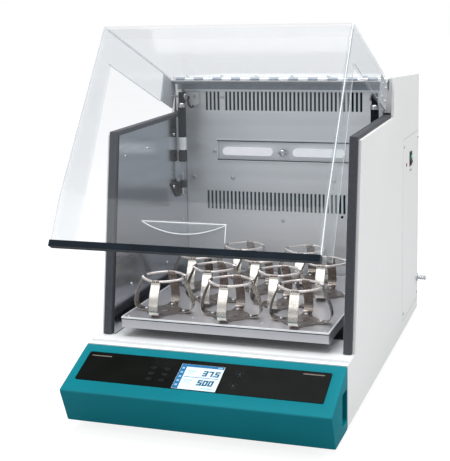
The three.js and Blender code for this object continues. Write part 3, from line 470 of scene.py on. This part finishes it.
def bezel_shell():
    section = [(FRONT_Y - 0.5, SILL_Z - 0.3), CREASE, TOE, (FRONT_Y - 0.5, TOE[1])]
    outline = rounded(section, [1.5, 3.2, 3.5, 1.5], 6)
    ends = [(-HALF + away, inset) for away, inset in END_ROUNDING]
    ends += [(HALF - away, inset) for away, inset in reversed(END_ROUNDING)]
    rings = []
    for x, inset in ends:
        ring = []
        for p in outline:
            toward = (SECTION_MIDDLE - p).normalized() * inset
            ring.append((x, p.x + toward.x, p.y + toward.y))
        rings.append(ring)
    return Piece("teal").rings(rings).done("bezel_body", "cabinet")


def bezel_recesses():
    cutter = Piece("teal")
    cutter.move = ON_SLOPE
    glass = rounded(rectangle(GLASS_X, GLASS_Y, GLASS_ROOM), 4.6, 6)
    cutter.prism([(p.x, p.y, -1.75) for p in glass], (0, 0, 12))
    cutter.prism([(x, y, -16) for x, y in rectangle(WELL_X, WELL_Y)], (0, 0, 20))
    cutter.move = Matrix.Identity(4)
    grip = rounded(rectangle(GRIP_Y, GRIP_Z), 5, 4)
    past = 6  # the cutter goes on outside the end
    for x in (-HALF - past, HALF - GRIP_DEPTH):
        cutter.prism([(x, p.x, p.y) for p in grip], (GRIP_DEPTH + past, 0, 0))
    return cutter.done("bezel_cutter", "cabinet")


def make_bezel():
    body = bezel_shell()
    tool = bezel_recesses()
    modifier = body.modifiers.new("recesses", "BOOLEAN")
    modifier.operation = "DIFFERENCE"
    modifier.solver = "EXACT"
    modifier.object = tool
    bake_modifiers(body)
    bpy.data.objects.remove(tool)
    body.data.set_sharp_from_angle(angle=math.radians(32))
    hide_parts("control_bezel")
    # A darker teal sheet inside each finger recess: painted shade.
    grip = rounded(rectangle(GRIP_Y, GRIP_Z, -0.3), 4.8, 4)
    for side, sign in SIDES:
        shade_sheet = Piece("recess")
        x = sign * (HALF - GRIP_DEPTH + 0.4)
        shade_sheet.prism([(x, p.x, p.y) for p in grip], (sign * 1.2, 0, 0))
        shade_sheet.done(f"{side}_grip_shade_sheet", "cabinet", slot="teal")


# ------------------------------------------------------------------ display
# Drawn on the glass, with x across it and y up the slope, in thin layers over each other.

PAGE_X, PAGE_Y = (-39.0, 30.0), (-84.0, -29.0)
SIDE_BAR, TOP_BAR = 9.0, 5.5  # widths of the blue bars
PAGE_LIFT, FRAME_LIFT, TEXT_LIFT, BADGE_LIFT = 0.34, 0.44, 0.5, 0.6
SEGMENTS = {"0": "abcdef", "3": "abgcd", "5": "afgcd", "7": "abc"}
FIGURE_WIDE, FIGURE_TALL, FIGURE_STROKE, FIGURE_PITCH = 4.9, 9.4, 2.7, 8.8
FIGURE_LEAN = 0.12


def slope_piece(*materials):
    piece = Piece(*materials)
    piece.move = ON_SLOPE
    return piece


def flat_bar(piece, x0, y0, x1, y1, lift=0.35, thick=0.15):
    piece.prism([(x, y, lift) for x, y in rectangle((x0, x1), (y0, y1))], (0, 0, thick))


def digit(piece, char, x, y):
    """A seven-segment figure with its lower left corner at x, y, leaning a little."""
    wide, tall, half = FIGURE_WIDE, FIGURE_TALL, FIGURE_TALL / 2
    bars = {
        "a": (0, tall, wide, tall), "b": (wide, half, wide, tall), "c": (wide, 0, wide, half),
        "d": (0, 0, wide, 0), "e": (0, 0, 0, half), "f": (0, half, 0, tall),
        "g": (0, half, wide, half),
    }
    for name in SEGMENTS[char]:
        x0, y0, x1, y1 = bars[name]
        corners = rectangle((x0, x1), (y0, y1), FIGURE_STROKE / 2)
        piece.prism([(x + cx + cy * FIGURE_LEAN, y + cy, TEXT_LIFT) for cx, cy in corners],
                    (0, 0, 0.12))


def write_figures(piece, text, x, y):
    for char in text:
        if char == ".":
            flat_bar(piece, x - 1.5, y - 1.4, x + 0.5, y + 0.8, TEXT_LIFT, 0.12)
            x += 1.8
        else:
            digit(piece, char, x, y)
            x += FIGURE_PITCH


def make_screen():
    (x0, x1), (low, top) = PAGE_X, PAGE_Y
    base = slope_piece("screen_white")
    flat_bar(base, x0, low, x1, top, PAGE_LIFT, 0.08)
    base.done("screen_page", "cabinet", slot="screen")
    blue = slope_piece("screen_blue")
    flat_bar(blue, x0, low, x0 + SIDE_BAR, top, FRAME_LIFT)
    flat_bar(blue, x0 + SIDE_BAR, top - TOP_BAR, x1, top, FRAME_LIFT)
    flat_bar(blue, x0 + SIDE_BAR + 2, -57.4, x1 - 2, -56.4, FRAME_LIFT)
    blue.done("screen_frame", "cabinet", slot="screen")
    pale = slope_piece("screen_pale")
    for row in range(5):
        y = -40 - row * 9.5
        flat_bar(pale, x0 + 2.6, y, x0 + 6.4, y + 3.6, BADGE_LIFT, 0.08)
    for y in (-44.5, -65.0):
        flat_bar(pale, x0 + 13, y, x0 + 27, y + 1.6, TEXT_LIFT, 0.08)
        flat_bar(pale, x0 + 15, y - 4.5, x0 + 24, y - 3.2, TEXT_LIFT, 0.08)
    flat_bar(pale, x1 - 10, top - 4.0, x1 - 3, top - 1.6, BADGE_LIFT, 0.08)
    flat_bar(pale, x1 - 24, -80.6, x1 - 6, -79.0, TEXT_LIFT, 0.08)
    pale.done("screen_small_marks", "cabinet", slot="screen")
    figures = slope_piece("screen_digit")
    write_figures(figures, "37.5", 0.5, -51.6)
    write_figures(figures, "500", -2.0, -72.6)
    figures.done("screen_figures", "cabinet", slot="screen")


def make_touch_panel():
    """Six oval keys left of the screen, two round arrow marks right of it and two plain bars."""
    icons = slope_piece("icon")
    for x in (-82, -60):
        for y in (-44, -57, -70):
            ring = [(x + 4 * math.cos(t), y + 2.6 * math.sin(t), 0.36)
                    for t in (2 * math.pi * k / 20 for k in range(20))]
            icons.tube(ring, 0.45, 6, closed=True)
            flat_bar(icons, x - 1.8, y - 0.5, x + 1.8, y + 0.5, 0.32, 0.12)
    for x, y in ((57, -41), (54, -67)):
        for turn in range(3):
            start = 2 * math.pi * turn / 3
            arc = [(x + 6 * math.cos(start + s), y + 6 * math.sin(start + s), 0.36)
                   for s in (1.5 * k / 8 for k in range(9))]
            icons.tube(arc, 0.7, 6)
        icons.lathe([(0, 0.3), (2.2, 0.3), (2.2, 0.5), (0, 0.5)], (x, y, 0), (0, 0, 1), 16)
    icons.done("touch_icons", "cabinet", slot="black_glass")
    marks = slope_piece("mark")
    flat_bar(marks, -194, -29.0, -160, -27.2, 0.3, 0.12)
    flat_bar(marks, 153, -27.2, 186, -25.2, 0.3, 0.12)
    marks.done("panel_bars", "cabinet", slot="black_glass")


# ------------------------------------------------------------------ flask clamps

CLAMP_RING_Z = 59.0
CLAMP_RING = 34.8  # radius of the ring's core
CLAMP_ROWS = (3, 2, 3, 2)
CLAMP_PITCH = (118.0, 87.0)  # across a row, and from row to row
CLAMP_BOW = [(26, 2.2), (38, 2.4), (45.5, 4.0), (49.8, 9.0), (51.0, 16.0), (50.0, 24.0),
             (46.5, 35.0), (41.5, 46.0), (37.8, 53.5), (36.9, 57.0)]  # radius and height
ARM_HALF = 7.8
ARM_THICK = 1.2
COIL_TURNS, COIL_STEPS = 72, 432
COIL_RADIUS = 1.75
BASE_POINTS = 96


def rounded_square(radius, share, count=96):
    """Points of a ring that is drawn a little square between four arms."""
    angles = [2 * math.pi * k / count for k in range(count)]
    reach = [radius * (1 + share * math.cos(4 * t)) for t in angles]
    return [(r * math.cos(t), r * math.sin(t)) for r, t in zip(reach, angles)]


def smooth_line(points, steps):
    """A curve through every point of a flat line, with so many steps between two of them."""
    last = len(points) - 1
    fine = []
    for i in range(last):
        a, b, c, d = (Vector(points[max(0, min(last, i + k))]) for k in (-1, 0, 1, 2))
        for step in range(steps):
            t = step / steps
            fine.append(0.5 * (2 * b + (c - a) * t + (2 * a - 5 * b + 4 * c - d) * t * t
                               + (3 * b - a - 3 * c + d) * t ** 3))
    return fine + [Vector(points[last])]


def clamp_arm(piece):
    """One sprung strip: bright outside, and inside darker, painted shade, with a loop of the same
    painted-shade colour that holds the ring.
    """
    bow = smooth_line(CLAMP_BOW, 3)
    last = len(bow) - 1
    outer, inner = [], []
    for i, p in enumerate(bow):
        along = (bow[min(i + 1, last)] - bow[max(i - 1, 0)]).normalized()
        out = Vector((along.y, -along.x)) * ARM_THICK / 2
        outer.append(p + out)
        inner.append(p - out)
    for finish, near, far in (("spring_steel", outer, inner), ("spring_inside", inner, outer)):
        middle = [(a + b) / 2 for a, b in zip(near, far)]
        rings = [[(m.x, -ARM_HALF, m.y), (m.x, ARM_HALF, m.y), (n.x, ARM_HALF, n.y),
                  (n.x, -ARM_HALF, n.y)] for m, n in zip(middle, near)]
        piece.use(finish).rings(rings)
    piece.use("spring_inside")
    piece.tube([(35.6, s, CLAMP_RING_Z) for s in (-6.2, 6.2)], 2.7, 12)
    piece.use("plated").screw((33.5, 0, 2.9), (0, 0, 1), 3.4)


def clamp_base(piece):
    """A plate with a lobe under each arm, and a low boss in its middle."""
    lobes = []
    for k in range(BASE_POINTS):
        t = 2 * math.pi * k / BASE_POINTS
        reach = 30 + 11 * max(0.0, math.cos(4 * t)) ** 0.7
        lobes.append((reach * math.cos(t), reach * math.sin(t), 0))
    piece.use("clamp_base").prism(lobes, (0, 0, 1.6))
    piece.lathe([(0, 1.6), (8, 1.6), (8, 2.4), (6.5, 3.0), (0, 3.0)], (0, 0, 0), (0, 0, 1), 24)


def clamp_ring(piece):
    """A ring of wire with a fine coil wound round it."""
    ring = rounded_square(CLAMP_RING, 0.045)
    piece.use("ring_wire")
    piece.tube([(x, y, CLAMP_RING_Z) for x, y in ring], 1.9, 10, closed=True)
    coil = []
    for k in range(COIL_STEPS):
        share = k / COIL_STEPS * len(ring)
        i = int(share)
        a, b = Vector(ring[i]), Vector(ring[(i + 1) % len(ring)])
        centre = a.lerp(b, share - i)
        turn = 2 * math.pi * COIL_TURNS * k / COIL_STEPS
        out = centre.normalized() * COIL_RADIUS * math.cos(turn)
        rise = COIL_RADIUS * math.sin(turn)
        coil.append((centre.x + out.x, centre.y + out.y, CLAMP_RING_Z + rise))
    piece.tube(coil, 0.7, 5, closed=True)


def make_clamp(number, x, y):
    piece = Piece("spring_steel", "spring_inside", "ring_wire", "clamp_base", "plated")
    place = Matrix.Translation((x, y, PLATFORM_Z + 0.3))
    piece.move = place
    clamp_base(piece)
    for arm in range(4):
        piece.move = place @ Matrix.Rotation(arm * math.pi / 2, 4, "Z")
        clamp_arm(piece)
    piece.move = place
    clamp_ring(piece)
    made = piece.done(f"clamp_{number}", "platform", smooth=50, slot="stainless")
    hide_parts(f"flask_clamp_{number}")


def make_clamps():
    number = 0
    for row, count in enumerate(CLAMP_ROWS):
        y = PLATFORM_Y + (row - 1.5) * CLAMP_PITCH[1]
        for i in range(count):
            number += 1
            make_clamp(number, (i - (count - 1) / 2) * CLAMP_PITCH[0], y)


# ------------------------------------------------------------------ screws and seams

SEAM_Y, SEAM_Z = (403.25, 596.75), (42.25, 399.75)  # middle of the gap round the service panel
SEAM_HALF = 0.5


def make_chamber_screws():
    screws = Piece("plated")
    for x, z in ((-119, 487), (-136, 381), (0, 250), (-180, 330), (180, 330), (-180, 150),
                 (180, 150), (-100, 330), (100, 330)):
        screws.screw((x, BACK_Y, z), (0, -1, 0), 4.0)
    for side in (-1, 1):
        for y, z in ((23, 407), (120, 409), (32, 183), (200, 183), (250, 420), (290, 250)):
            screws.screw((side * CHAMBER_HALF, y, z), (-side, 0, 0), 3.0)
    screws.done("chamber_screws", "cabinet", slot="stainless")


def make_lamp_clip():
    clip = Piece("plated")
    clip.lathe([(0, 0), (6.5, 0), (7.2, 1.5), (6.2, 3.6), (3.6, 4.6), (3.2, 2.4), (0, 2.4)],
               (0, BACK_Y, 381), (0, -1, 0), 24)
    clip.box((-10, 10), (BACK_Y - 2.2, BACK_Y - 0.2), (378.6, 383.4))
    clip.done("lamp_clip", "cabinet", bevel=0.3, slot="stainless")


def make_service_panel_trim():
    seam = Piece("seam_and_shade_grey")
    skin = (HALF - 1.2, HALF + 0.12)
    for y in SEAM_Y:
        seam.box(skin, (y - SEAM_HALF, y + SEAM_HALF), (SEAM_Z[0] + 0.05, SEAM_Z[1] - 0.05))
    for z in SEAM_Z:
        seam.box(skin, (SEAM_Y[0] + 0.55, SEAM_Y[1] - 0.55), (z - SEAM_HALF, z + SEAM_HALF))
    seam.done("service_panel_seam", "cabinet", slot="white_paint")
    screws = Piece("plated")
    for y, z in ((411, 386), (589, 386), (589, 56), (411, 56)):
        screws.screw((HALF, y, z), (1, 0, 0), 3.0)
    screws.done("service_panel_screws", "cabinet", slot="plated_steel")


def make_platform_screws():
    screws = Piece("plated")
    for x in (-166, 166):
        for y in (-47, 123, 293):
            screws.screw((x, y, PLATFORM_Z), (0, 0, 1), 3.6)
    for x in (-59, 59):
        screws.screw((x, -32, PLATFORM_Z), (0, 0, 1), 3.0)
    screws.done("platform_screws", "platform", slot="plated_steel")


def make_rear_panel_screws():
    screws = Piece("plated")
    for x in (-200, 0, 200):
        for z in (40, 270, 500):
            screws.screw((x, REAR_Y, z), (0, 1, 0), 3.4)
    screws.done("rear_panel_screws", "cabinet", slot="plated_steel")


# ------------------------------------------------------------------ chamber and platform


def make_louvre_depth():
    """A dark sheet behind each row of slots, painted shade of the slots' depth; the lower one tinted
    teal, a painted reflection.
    """
    for name, finish, slot_foot in (("upper", "shade_dark", 461), ("lower", "slot_shade_teal_reflection", 268)):
        backing = Piece(finish)
        backing.box((-158, 158), (318.5, 320.0), (slot_foot - 5, slot_foot + 41))
        backing.done(f"{name}_louvre_shade_sheet", "cabinet", slot="plated_steel")


def make_lamp_recess_rim():
    """Dark lines of painted shade and bright lips along the lamp recess, and two holes under the
    lower slots drawn as dark discs of painted shade.
    """
    rim = Piece("shade_dark", "stainless_x")
    for z in (365.4, 402.0):
        rim.box((-131, 131), (BACK_Y - 0.7, BACK_Y - 0.2), (z - 0.9, z + 0.9))
    for x in (115, 129):
        rim.lathe([(0, 0), (2.6, 0), (2.6, 0.4), (0, 0.4)], (x, BACK_Y, 262), (0, -1, 0), 16)
    rim.use("stainless_x")
    near, far = BACK_Y - 2.4, BACK_Y - 0.1
    for z in (363.4, 404.4):
        rim.prism([(-133, near, z - 1.0), (-133, far, z - 1.6), (-133, far, z + 1.6),
                   (-133, near, z + 1.0)], (266, 0, 0))
    rim.done("lamp_recess_rim", "cabinet", slot="stainless")


def make_housing_cheeks():
    """White plates that close the housing's front beside the hinge."""
    for side, sign in SIDES:
        cheek = Piece("white_paint")
        cheek.box((sign * 196.5, sign * 209.8), (300.8, 302.1), (461, 524))
        cheek.done(f"{side}_housing_cheek", "cabinet", slot="white_paint")


def make_platform_edge():
    """The platform's top sheet: a thin bright edge all round, a painted highlight, over a dark seam
    whose darkness is painted shade.
    """
    low, high = (tuple(1000 * (a - b) for a, b in zip(corner, SHIFT))
                 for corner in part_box("platform"))
    top = high[2]
    sheet = Piece("platform_top")
    sheet.box((low[0] + 2, high[0] - 2), (low[1] + 2, high[1] - 2), (top + 0.02, top + 0.2))
    sheet.done("platform_top_sheet", "platform", slot="stainless")
    for name, finish, z, proud in (("painted_highlight_edge", "painted_highlight_edge", (top - 2.6, top + 0.15), 0.7),
                                   ("seam", "shade_dark", (top - 4.4, top - 2.8), 0.15)):
        band = Piece(finish)
        x0, x1, y0, y1 = low[0] - proud, high[0] + proud, low[1] - proud, high[1] + proud
        t = 1.2 + proud
        band.box((x0, x1), (y0, y0 + t), z)
        band.box((x0, x1), (y1 - t, y1), z)
        band.box((x0, x0 + t), (y0 + t, y1 - t), z)
        band.box((x1 - t, x1), (y0 + t, y1 - t), z)
        band.done(f"platform_{name}", "platform", bevel=0.25, slot="stainless")


def make_inner_sill():
    """The white apron between the sill and the chamber floor, with a round stop at each side."""
    apron_top = 115.5
    apron = Piece("white_trim")
    apron.box((-194, 194), (-47, 26), (apron_top - 5, apron_top))
    apron.done("inner_sill", "cabinet", bevel=0.8, slot="white_paint")
    rests = Piece("plated")
    for x in (-162, 162):
        rests.lathe([(0, 0), (6, 0), (6, 6), (4, 9), (0, 9.6)], (x, 0, apron_top), (0, 0, 1), 20)
    rests.done("platform_rests", "cabinet", slot="plated_steel")


# ------------------------------------------------------------------ mains switch

ROCKER_PIVOT = (214, 496, 352.5)
ROCKER_TILT = math.radians(-7)


def make_switch_marks():
    green = Piece("green_lamp")
    green.move = Matrix.Translation(ROCKER_PIVOT) @ Matrix.Rotation(ROCKER_TILT, 4, "Y")
    green.prism([(2.9, -8.6, 1.6), (2.9, 8.6, 1.6), (3.75, 8.6, 7.4), (3.75, -8.6, 7.4)],
                (0.35, 0, 0))
    green.done("rocker_light", "rocker", slot="black_plastic")
    red = Piece("red_mark")
    red.lathe([(0, 0), (3.4, 0), (3.4, 1.0), (2.6, 1.6), (0, 1.9)], (HALF, 441, 347), (1, 0, 0))
    red.done("alarm_lamp", "cabinet", slot="black_plastic")
    bar = Piece("mark")
    bar.box((HALF, HALF + 0.35), (486, 506), (328, 331))
    bar.done("switch_mark", "cabinet", slot="white_paint")


# ------------------------------------------------------------------ gas struts


def make_strut(side, sign):
    """The trim of one gas strut. Profiles are (radius, height above the bench)."""
    foot = (sign * STRUT_X, STRUT_Y, 0)
    up = (0, 0, 1)
    sleeve = Piece("label", "black_plastic", "plated")
    sleeve.lathe([(7.55, 389), (7.75, 389), (7.75, 413), (7.55, 413)], foot, up, 32)
    sleeve.use("black_plastic")
    sleeve.lathe([(7.5, 366.4), (8.4, 366.8), (8.6, 370), (8.6, 384), (8.3, 386), (7.5, 386)],
                 foot, up, 32)
    sleeve.use("plated")
    sleeve.lathe([(7.5, 470), (8.1, 470.4), (8.1, 477), (7.0, 478.4), (6.1, 478.4)], foot, up, 32)
    sleeve.done(f"{side}_strut_sleeve", f"{side}_strut_cylinder", slot="black_steel")
    boot = Piece("black_plastic")
    boot.lathe([(3.1, 332), (5.4, 332.4), (6.3, 330), (6.3, 318), (6.1, 316)], foot, up, 24)
    boot.done(f"{side}_strut_boot", f"{side}_strut_rod", slot="black_plastic")
    wall, thick = sign * (CHAMBER_HALF - 0.4), sign * 2.4
    bracket = Piece("black_plastic", "plated")
    outline = rounded([(STRUT_Y - 46, 330), (STRUT_Y + 14, 326), (STRUT_Y + 14, 298),
                       (STRUT_Y - 16, 300)], 5, 4)
    bracket.prism([(wall, p.x, p.y) for p in outline], (-thick, 0, 0))
    bracket.use("plated")
    for y, z in ((STRUT_Y - 32, 322), (STRUT_Y + 4, 303)):
        bracket.screw((wall - thick, y, z), (-sign, 0, 0), 3.2)
    bracket.done(f"{side}_strut_bracket", "cabinet", slot="plated_steel")
    cap = Piece("plated")
    cap.lathe([(0, 0), (5.2, 0), (5.8, 1.2), (5.2, 2.8), (0, 3.4)],
              (sign * (STRUT_X - 6.2), STRUT_Y, STRUT_TOP), (-sign, 0, 0), 24)
    cap.done(f"{side}_strut_top_cap", "lid", slot="plated_steel")


def make_latch_plate():
    """A small white plate with a dark hook, in the chamber's top left corner."""
    plate = Piece("white_trim", "black_plastic", "plated")
    face = 311.5
    plate.prism([(-192, face, 497), (-166, face, 497), (-166, face, 474), (-180, face, 466),
                 (-192, face, 474)], (0, 2.4, 0))
    plate.use("black_plastic")
    plate.tube([(-186, 309, 488), (-186, 305, 480), (-184, 304, 472), (-180, 306, 466),
                (-176, 309, 470)], 2.2, 10)
    plate.use("plated")
    plate.screw((-174, face - 0.1, 488), (0, -1, 0), 3.4)
    plate.done("left_latch_plate", "cabinet", bevel=0.3, slot="white_paint")


# ------------------------------------------------------------------ lid
# Places on the lid are those of the closed lid, and OPEN_LID swings them open.

OPEN_LID = (Matrix.Translation((0, *HINGE)) @ Matrix.Rotation(-LID_OPEN, 4, "X")
            @ Matrix.Translation((0, -HINGE[0], -HINGE[1])))
LID_CREASE, LID_TOE = Vector((-116.0, 207.0)), Vector((-125.0, 139.0))  # front sheet, y and z
PULL_HALF, PULL_SAG, PULL_DEEP = 65.0, 16.5, 9.5
PULL_STEPS = 32
EDGE_OUTSIDE = ((-36.8, 507.6), (-115.2, 206.0), (-124.4, 139.8))  # y and z
EDGE_INSIDE = ((-120, 138.6), (-51.5, 138.6), (-6.4, 452.4), (228, 458.4))


def make_lid_pull():
    """A clear boat-shaped finger pull on the front sheet, with bright lines along its edges, painted
    highlights.
    """
    pull = Piece("acrylic_pull", "clear_line")
    middle = (LID_CREASE + LID_TOE) / 2
    lean = math.atan2(LID_CREASE.x - LID_TOE.x, LID_CREASE.y - LID_TOE.y)
    pull.move = (OPEN_LID @ Matrix.Translation((0, middle.x, middle.y - 5.0))
                 @ Matrix.Rotation(-lean, 4, "X"))
    rings = []
    for i in range(PULL_STEPS + 1):
        u = 2 * i / PULL_STEPS - 1
        x, low = PULL_HALF * u, 7 - PULL_SAG * (1 - u * u)
        deep = 2.5 + PULL_DEEP * math.sqrt(max(0.0, 1 - u * u))
        rings.append([(x, -0.35, 7.4), (x, -deep, 7.4),
                      (x, -deep, 5.2 if low > 5.2 else low + 1.8),
                      (x, -deep * 0.8, low - 0.4), (x, -0.35, low - 0.4)])
    pull.rings(rings)
    pull.use("clear_line")
    pull.tube([(x, -0.9, 7.0) for x in (-PULL_HALF, PULL_HALF)], 0.75, 8)
    pull.tube([ring[4] for ring in rings[::2]], 0.75, 8)
    pull.tube([(PULL_HALF - 1, -0.9, 6), (PULL_HALF + 1, -0.9, -20)], 0.5, 6)
    made = pull.done("lid_pull", "lid", smooth=50, slot="acrylic")
    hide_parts("lid_handle")


def make_lid_edges():
    """Bright, faintly glowing lines along the side sheets' edges, painted highlights, and a faint
    band inside the right one.
    """
    edges = Piece("clear_line", "acrylic_edge")
    edges.move = OPEN_LID
    x = LID_HALF - 0.2
    edges.tube([(x, y, z) for y, z in EDGE_OUTSIDE], 0.7, 6)
    edges.use("acrylic_edge")
    edges.tube([(x, y, z) for y, z in EDGE_INSIDE], 0.8, 6)
    edges.tube([(-x, y, z) for y, z in EDGE_INSIDE[2:]], 0.7, 6)
    x, near, far = LID_HALF - 5.2, 14, 31  # the band's distance from the front sheet
    for (ya, za), (yb, zb) in zip(EDGE_OUTSIDE, EDGE_OUTSIDE[1:]):
        band = [(x, ya + near, za), (x, yb + near, zb), (x, yb + far, zb), (x, ya + far, za)]
        edges.prism(band, (-0.2, 0, 0))
    edges.done("lid_edge_lines", "lid", slot="acrylic")


def make_lid_screws():
    screws = Piece("plated")
    screws.move = OPEN_LID
    for sign in (-1, 1):
        for y in (242, 270):
            for z in (474, 498):
                screws.screw((sign * (LID_HALF - 0.4), y, z), (sign, 0, 0), 2.6)
    for k in range(6):
        screws.screw((-170 + 68 * k, 262, 517.4), (0, 0, 1), 3.0)
    screws.done("lid_screws", "lid", slot="plated_steel")


make_bezel()
make_screen()
make_touch_panel()
make_clamps()
make_chamber_screws()
make_lamp_clip()
make_service_panel_trim()
make_platform_screws()
make_rear_panel_screws()
make_louvre_depth()
make_lamp_recess_rim()
make_housing_cheeks()
make_platform_edge()
make_inner_sill()
make_switch_marks()
make_strut("left", -1)
make_latch_plate()
make_strut("right", 1)
make_lid_pull()
make_lid_edges()
make_lid_screws()

# ------------------------------------------------------------------ floor, light and camera

FLOOR_REACH = 30.0
FLOOR_GLOW = 0.86  # keeps the seen floor near white without lighting the object from below
CAMERA_PLACE = (538.0, -1616.0, 638.0)
CAMERA_YAW, CAMERA_PITCH, CAMERA_ROLL = (math.radians(a) for a in (18.71, 7.87, -0.97))
SENSOR = 36.0
FOCAL_SHARE = 2.358378  # focal length over the picture's width
CENTRE_RISE = 0.147333  # how far the optical centre is above the picture's middle
LAMP_TARGET = (0, 0, 0.25)


def make_floor():
    """A floor that is bright where the camera sees it, and dim in the light it gives back."""
    data = bpy.data.meshes.new("floor")
    reach = FLOOR_REACH
    data.from_pydata([(-reach, -reach, 0), (reach, -reach, 0), (reach, reach, 0), (-reach, reach, 0)],
                     [], [(0, 1, 2, 3)])
    floor = bpy.data.objects.new("floor", data)
    bpy.context.scene.collection.objects.link(floor)
    tree, output = new_material("floor_paper")
    shader = tree.nodes.new("ShaderNodeBsdfPrincipled")
    tree.links.new(tint(tree, noise(tree, 3), (0.25, 0.25, 0.25), (0.27, 0.27, 0.27)),
                   shader.inputs["Base Color"])
    shader.inputs["Roughness"].default_value = 0.8
    shader.inputs["Specular IOR Level"].default_value = 0.1
    shader.inputs["Emission Color"].default_value = (1, 1, 1, 1)
    shader.inputs["Emission Strength"].default_value = FLOOR_GLOW
    dim = tree.nodes.new("ShaderNodeBsdfDiffuse")
    tree.links.new(tint(tree, noise(tree, 3), (0.36, 0.37, 0.38), (0.40, 0.41, 0.42)),
                   dim.inputs["Color"])
    ray = tree.nodes.new("ShaderNodeLightPath")
    mix = tree.nodes.new("ShaderNodeMixShader")
    tree.links.new(ray.outputs["Is Camera Ray"], mix.inputs["Fac"])
    tree.links.new(dim.outputs["BSDF"], mix.inputs[1])
    tree.links.new(shader.outputs["BSDF"], mix.inputs[2])
    tree.links.new(mix.outputs["Shader"], output.inputs["Surface"])
    data.materials.append(MATERIALS["floor_paper"])


def make_lamp(name, place, size, watts):
    """A soft lamp that faces the object; place and size are in metres."""
    data = bpy.data.lights.new(name, "AREA")
    data.shape = "RECTANGLE"
    data.size, data.size_y = size
    data.energy = watts
    lamp = bpy.data.objects.new(name, data)
    lamp.location = place
    toward = Vector(LAMP_TARGET) - Vector(place)
    lamp.rotation_euler = toward.to_track_quat("-Z", "Y").to_euler()
    bpy.context.scene.collection.objects.link(lamp)


def make_world():
    """White behind the object, with a weaker, slightly cool light from all round."""
    world = bpy.data.worlds.new("studio")
    world.use_nodes = True
    tree = world.node_tree
    seen = tree.nodes["Background"]
    seen.inputs["Strength"].default_value = 1.0
    seen.inputs["Color"].default_value = (1, 1, 1, 1)
    light = tree.nodes.new("ShaderNodeBackground")
    light.inputs["Color"].default_value = (0.97, 0.985, 1, 1)
    light.inputs["Strength"].default_value = 0.62
    ray = tree.nodes.new("ShaderNodeLightPath")
    mix = tree.nodes.new("ShaderNodeMixShader")
    tree.links.new(ray.outputs["Is Camera Ray"], mix.inputs["Fac"])
    tree.links.new(light.outputs["Background"], mix.inputs[1])
    tree.links.new(seen.outputs["Background"], mix.inputs[2])
    tree.links.new(mix.outputs["Shader"], tree.nodes["World Output"].inputs["Surface"])
    bpy.context.scene.world = world
    bpy.context.scene.view_settings.view_transform = "Standard"


def make_camera():
    forward = Vector((-math.sin(CAMERA_YAW) * math.cos(CAMERA_PITCH),
                      math.cos(CAMERA_YAW) * math.cos(CAMERA_PITCH), -math.sin(CAMERA_PITCH)))
    level = Vector((math.cos(CAMERA_YAW), math.sin(CAMERA_YAW), 0))
    rise = level.cross(forward)
    right = level * math.cos(CAMERA_ROLL) + rise * math.sin(CAMERA_ROLL)
    up = rise * math.cos(CAMERA_ROLL) - level * math.sin(CAMERA_ROLL)
    data = bpy.data.cameras.new("camera")
    data.sensor_fit = "HORIZONTAL"
    data.sensor_width = SENSOR
    data.lens = SENSOR * FOCAL_SHARE
    data.shift_y = -CENTRE_RISE
    camera = bpy.data.objects.new("camera", data)
    turn = Matrix((right, up, -forward)).transposed().to_4x4()
    camera.matrix_world = Matrix.Translation(at(*CAMERA_PLACE)) @ turn
    bpy.context.scene.collection.objects.link(camera)
    bpy.context.scene.camera = camera


make_floor()
make_world()
make_lamp("key", (-1.1, -2.3, 2.1), (1.6, 1.4), 18)
make_lamp("low", (-0.9, -2.8, 0.45), (1.6, 0.6), 2)
make_lamp("fill", (2.8, -0.1, 1.5), (1.4, 1.8), 36)
make_lamp("top", (0.0, 0.0, 2.6), (2.0, 2.0), 66)
make_camera()
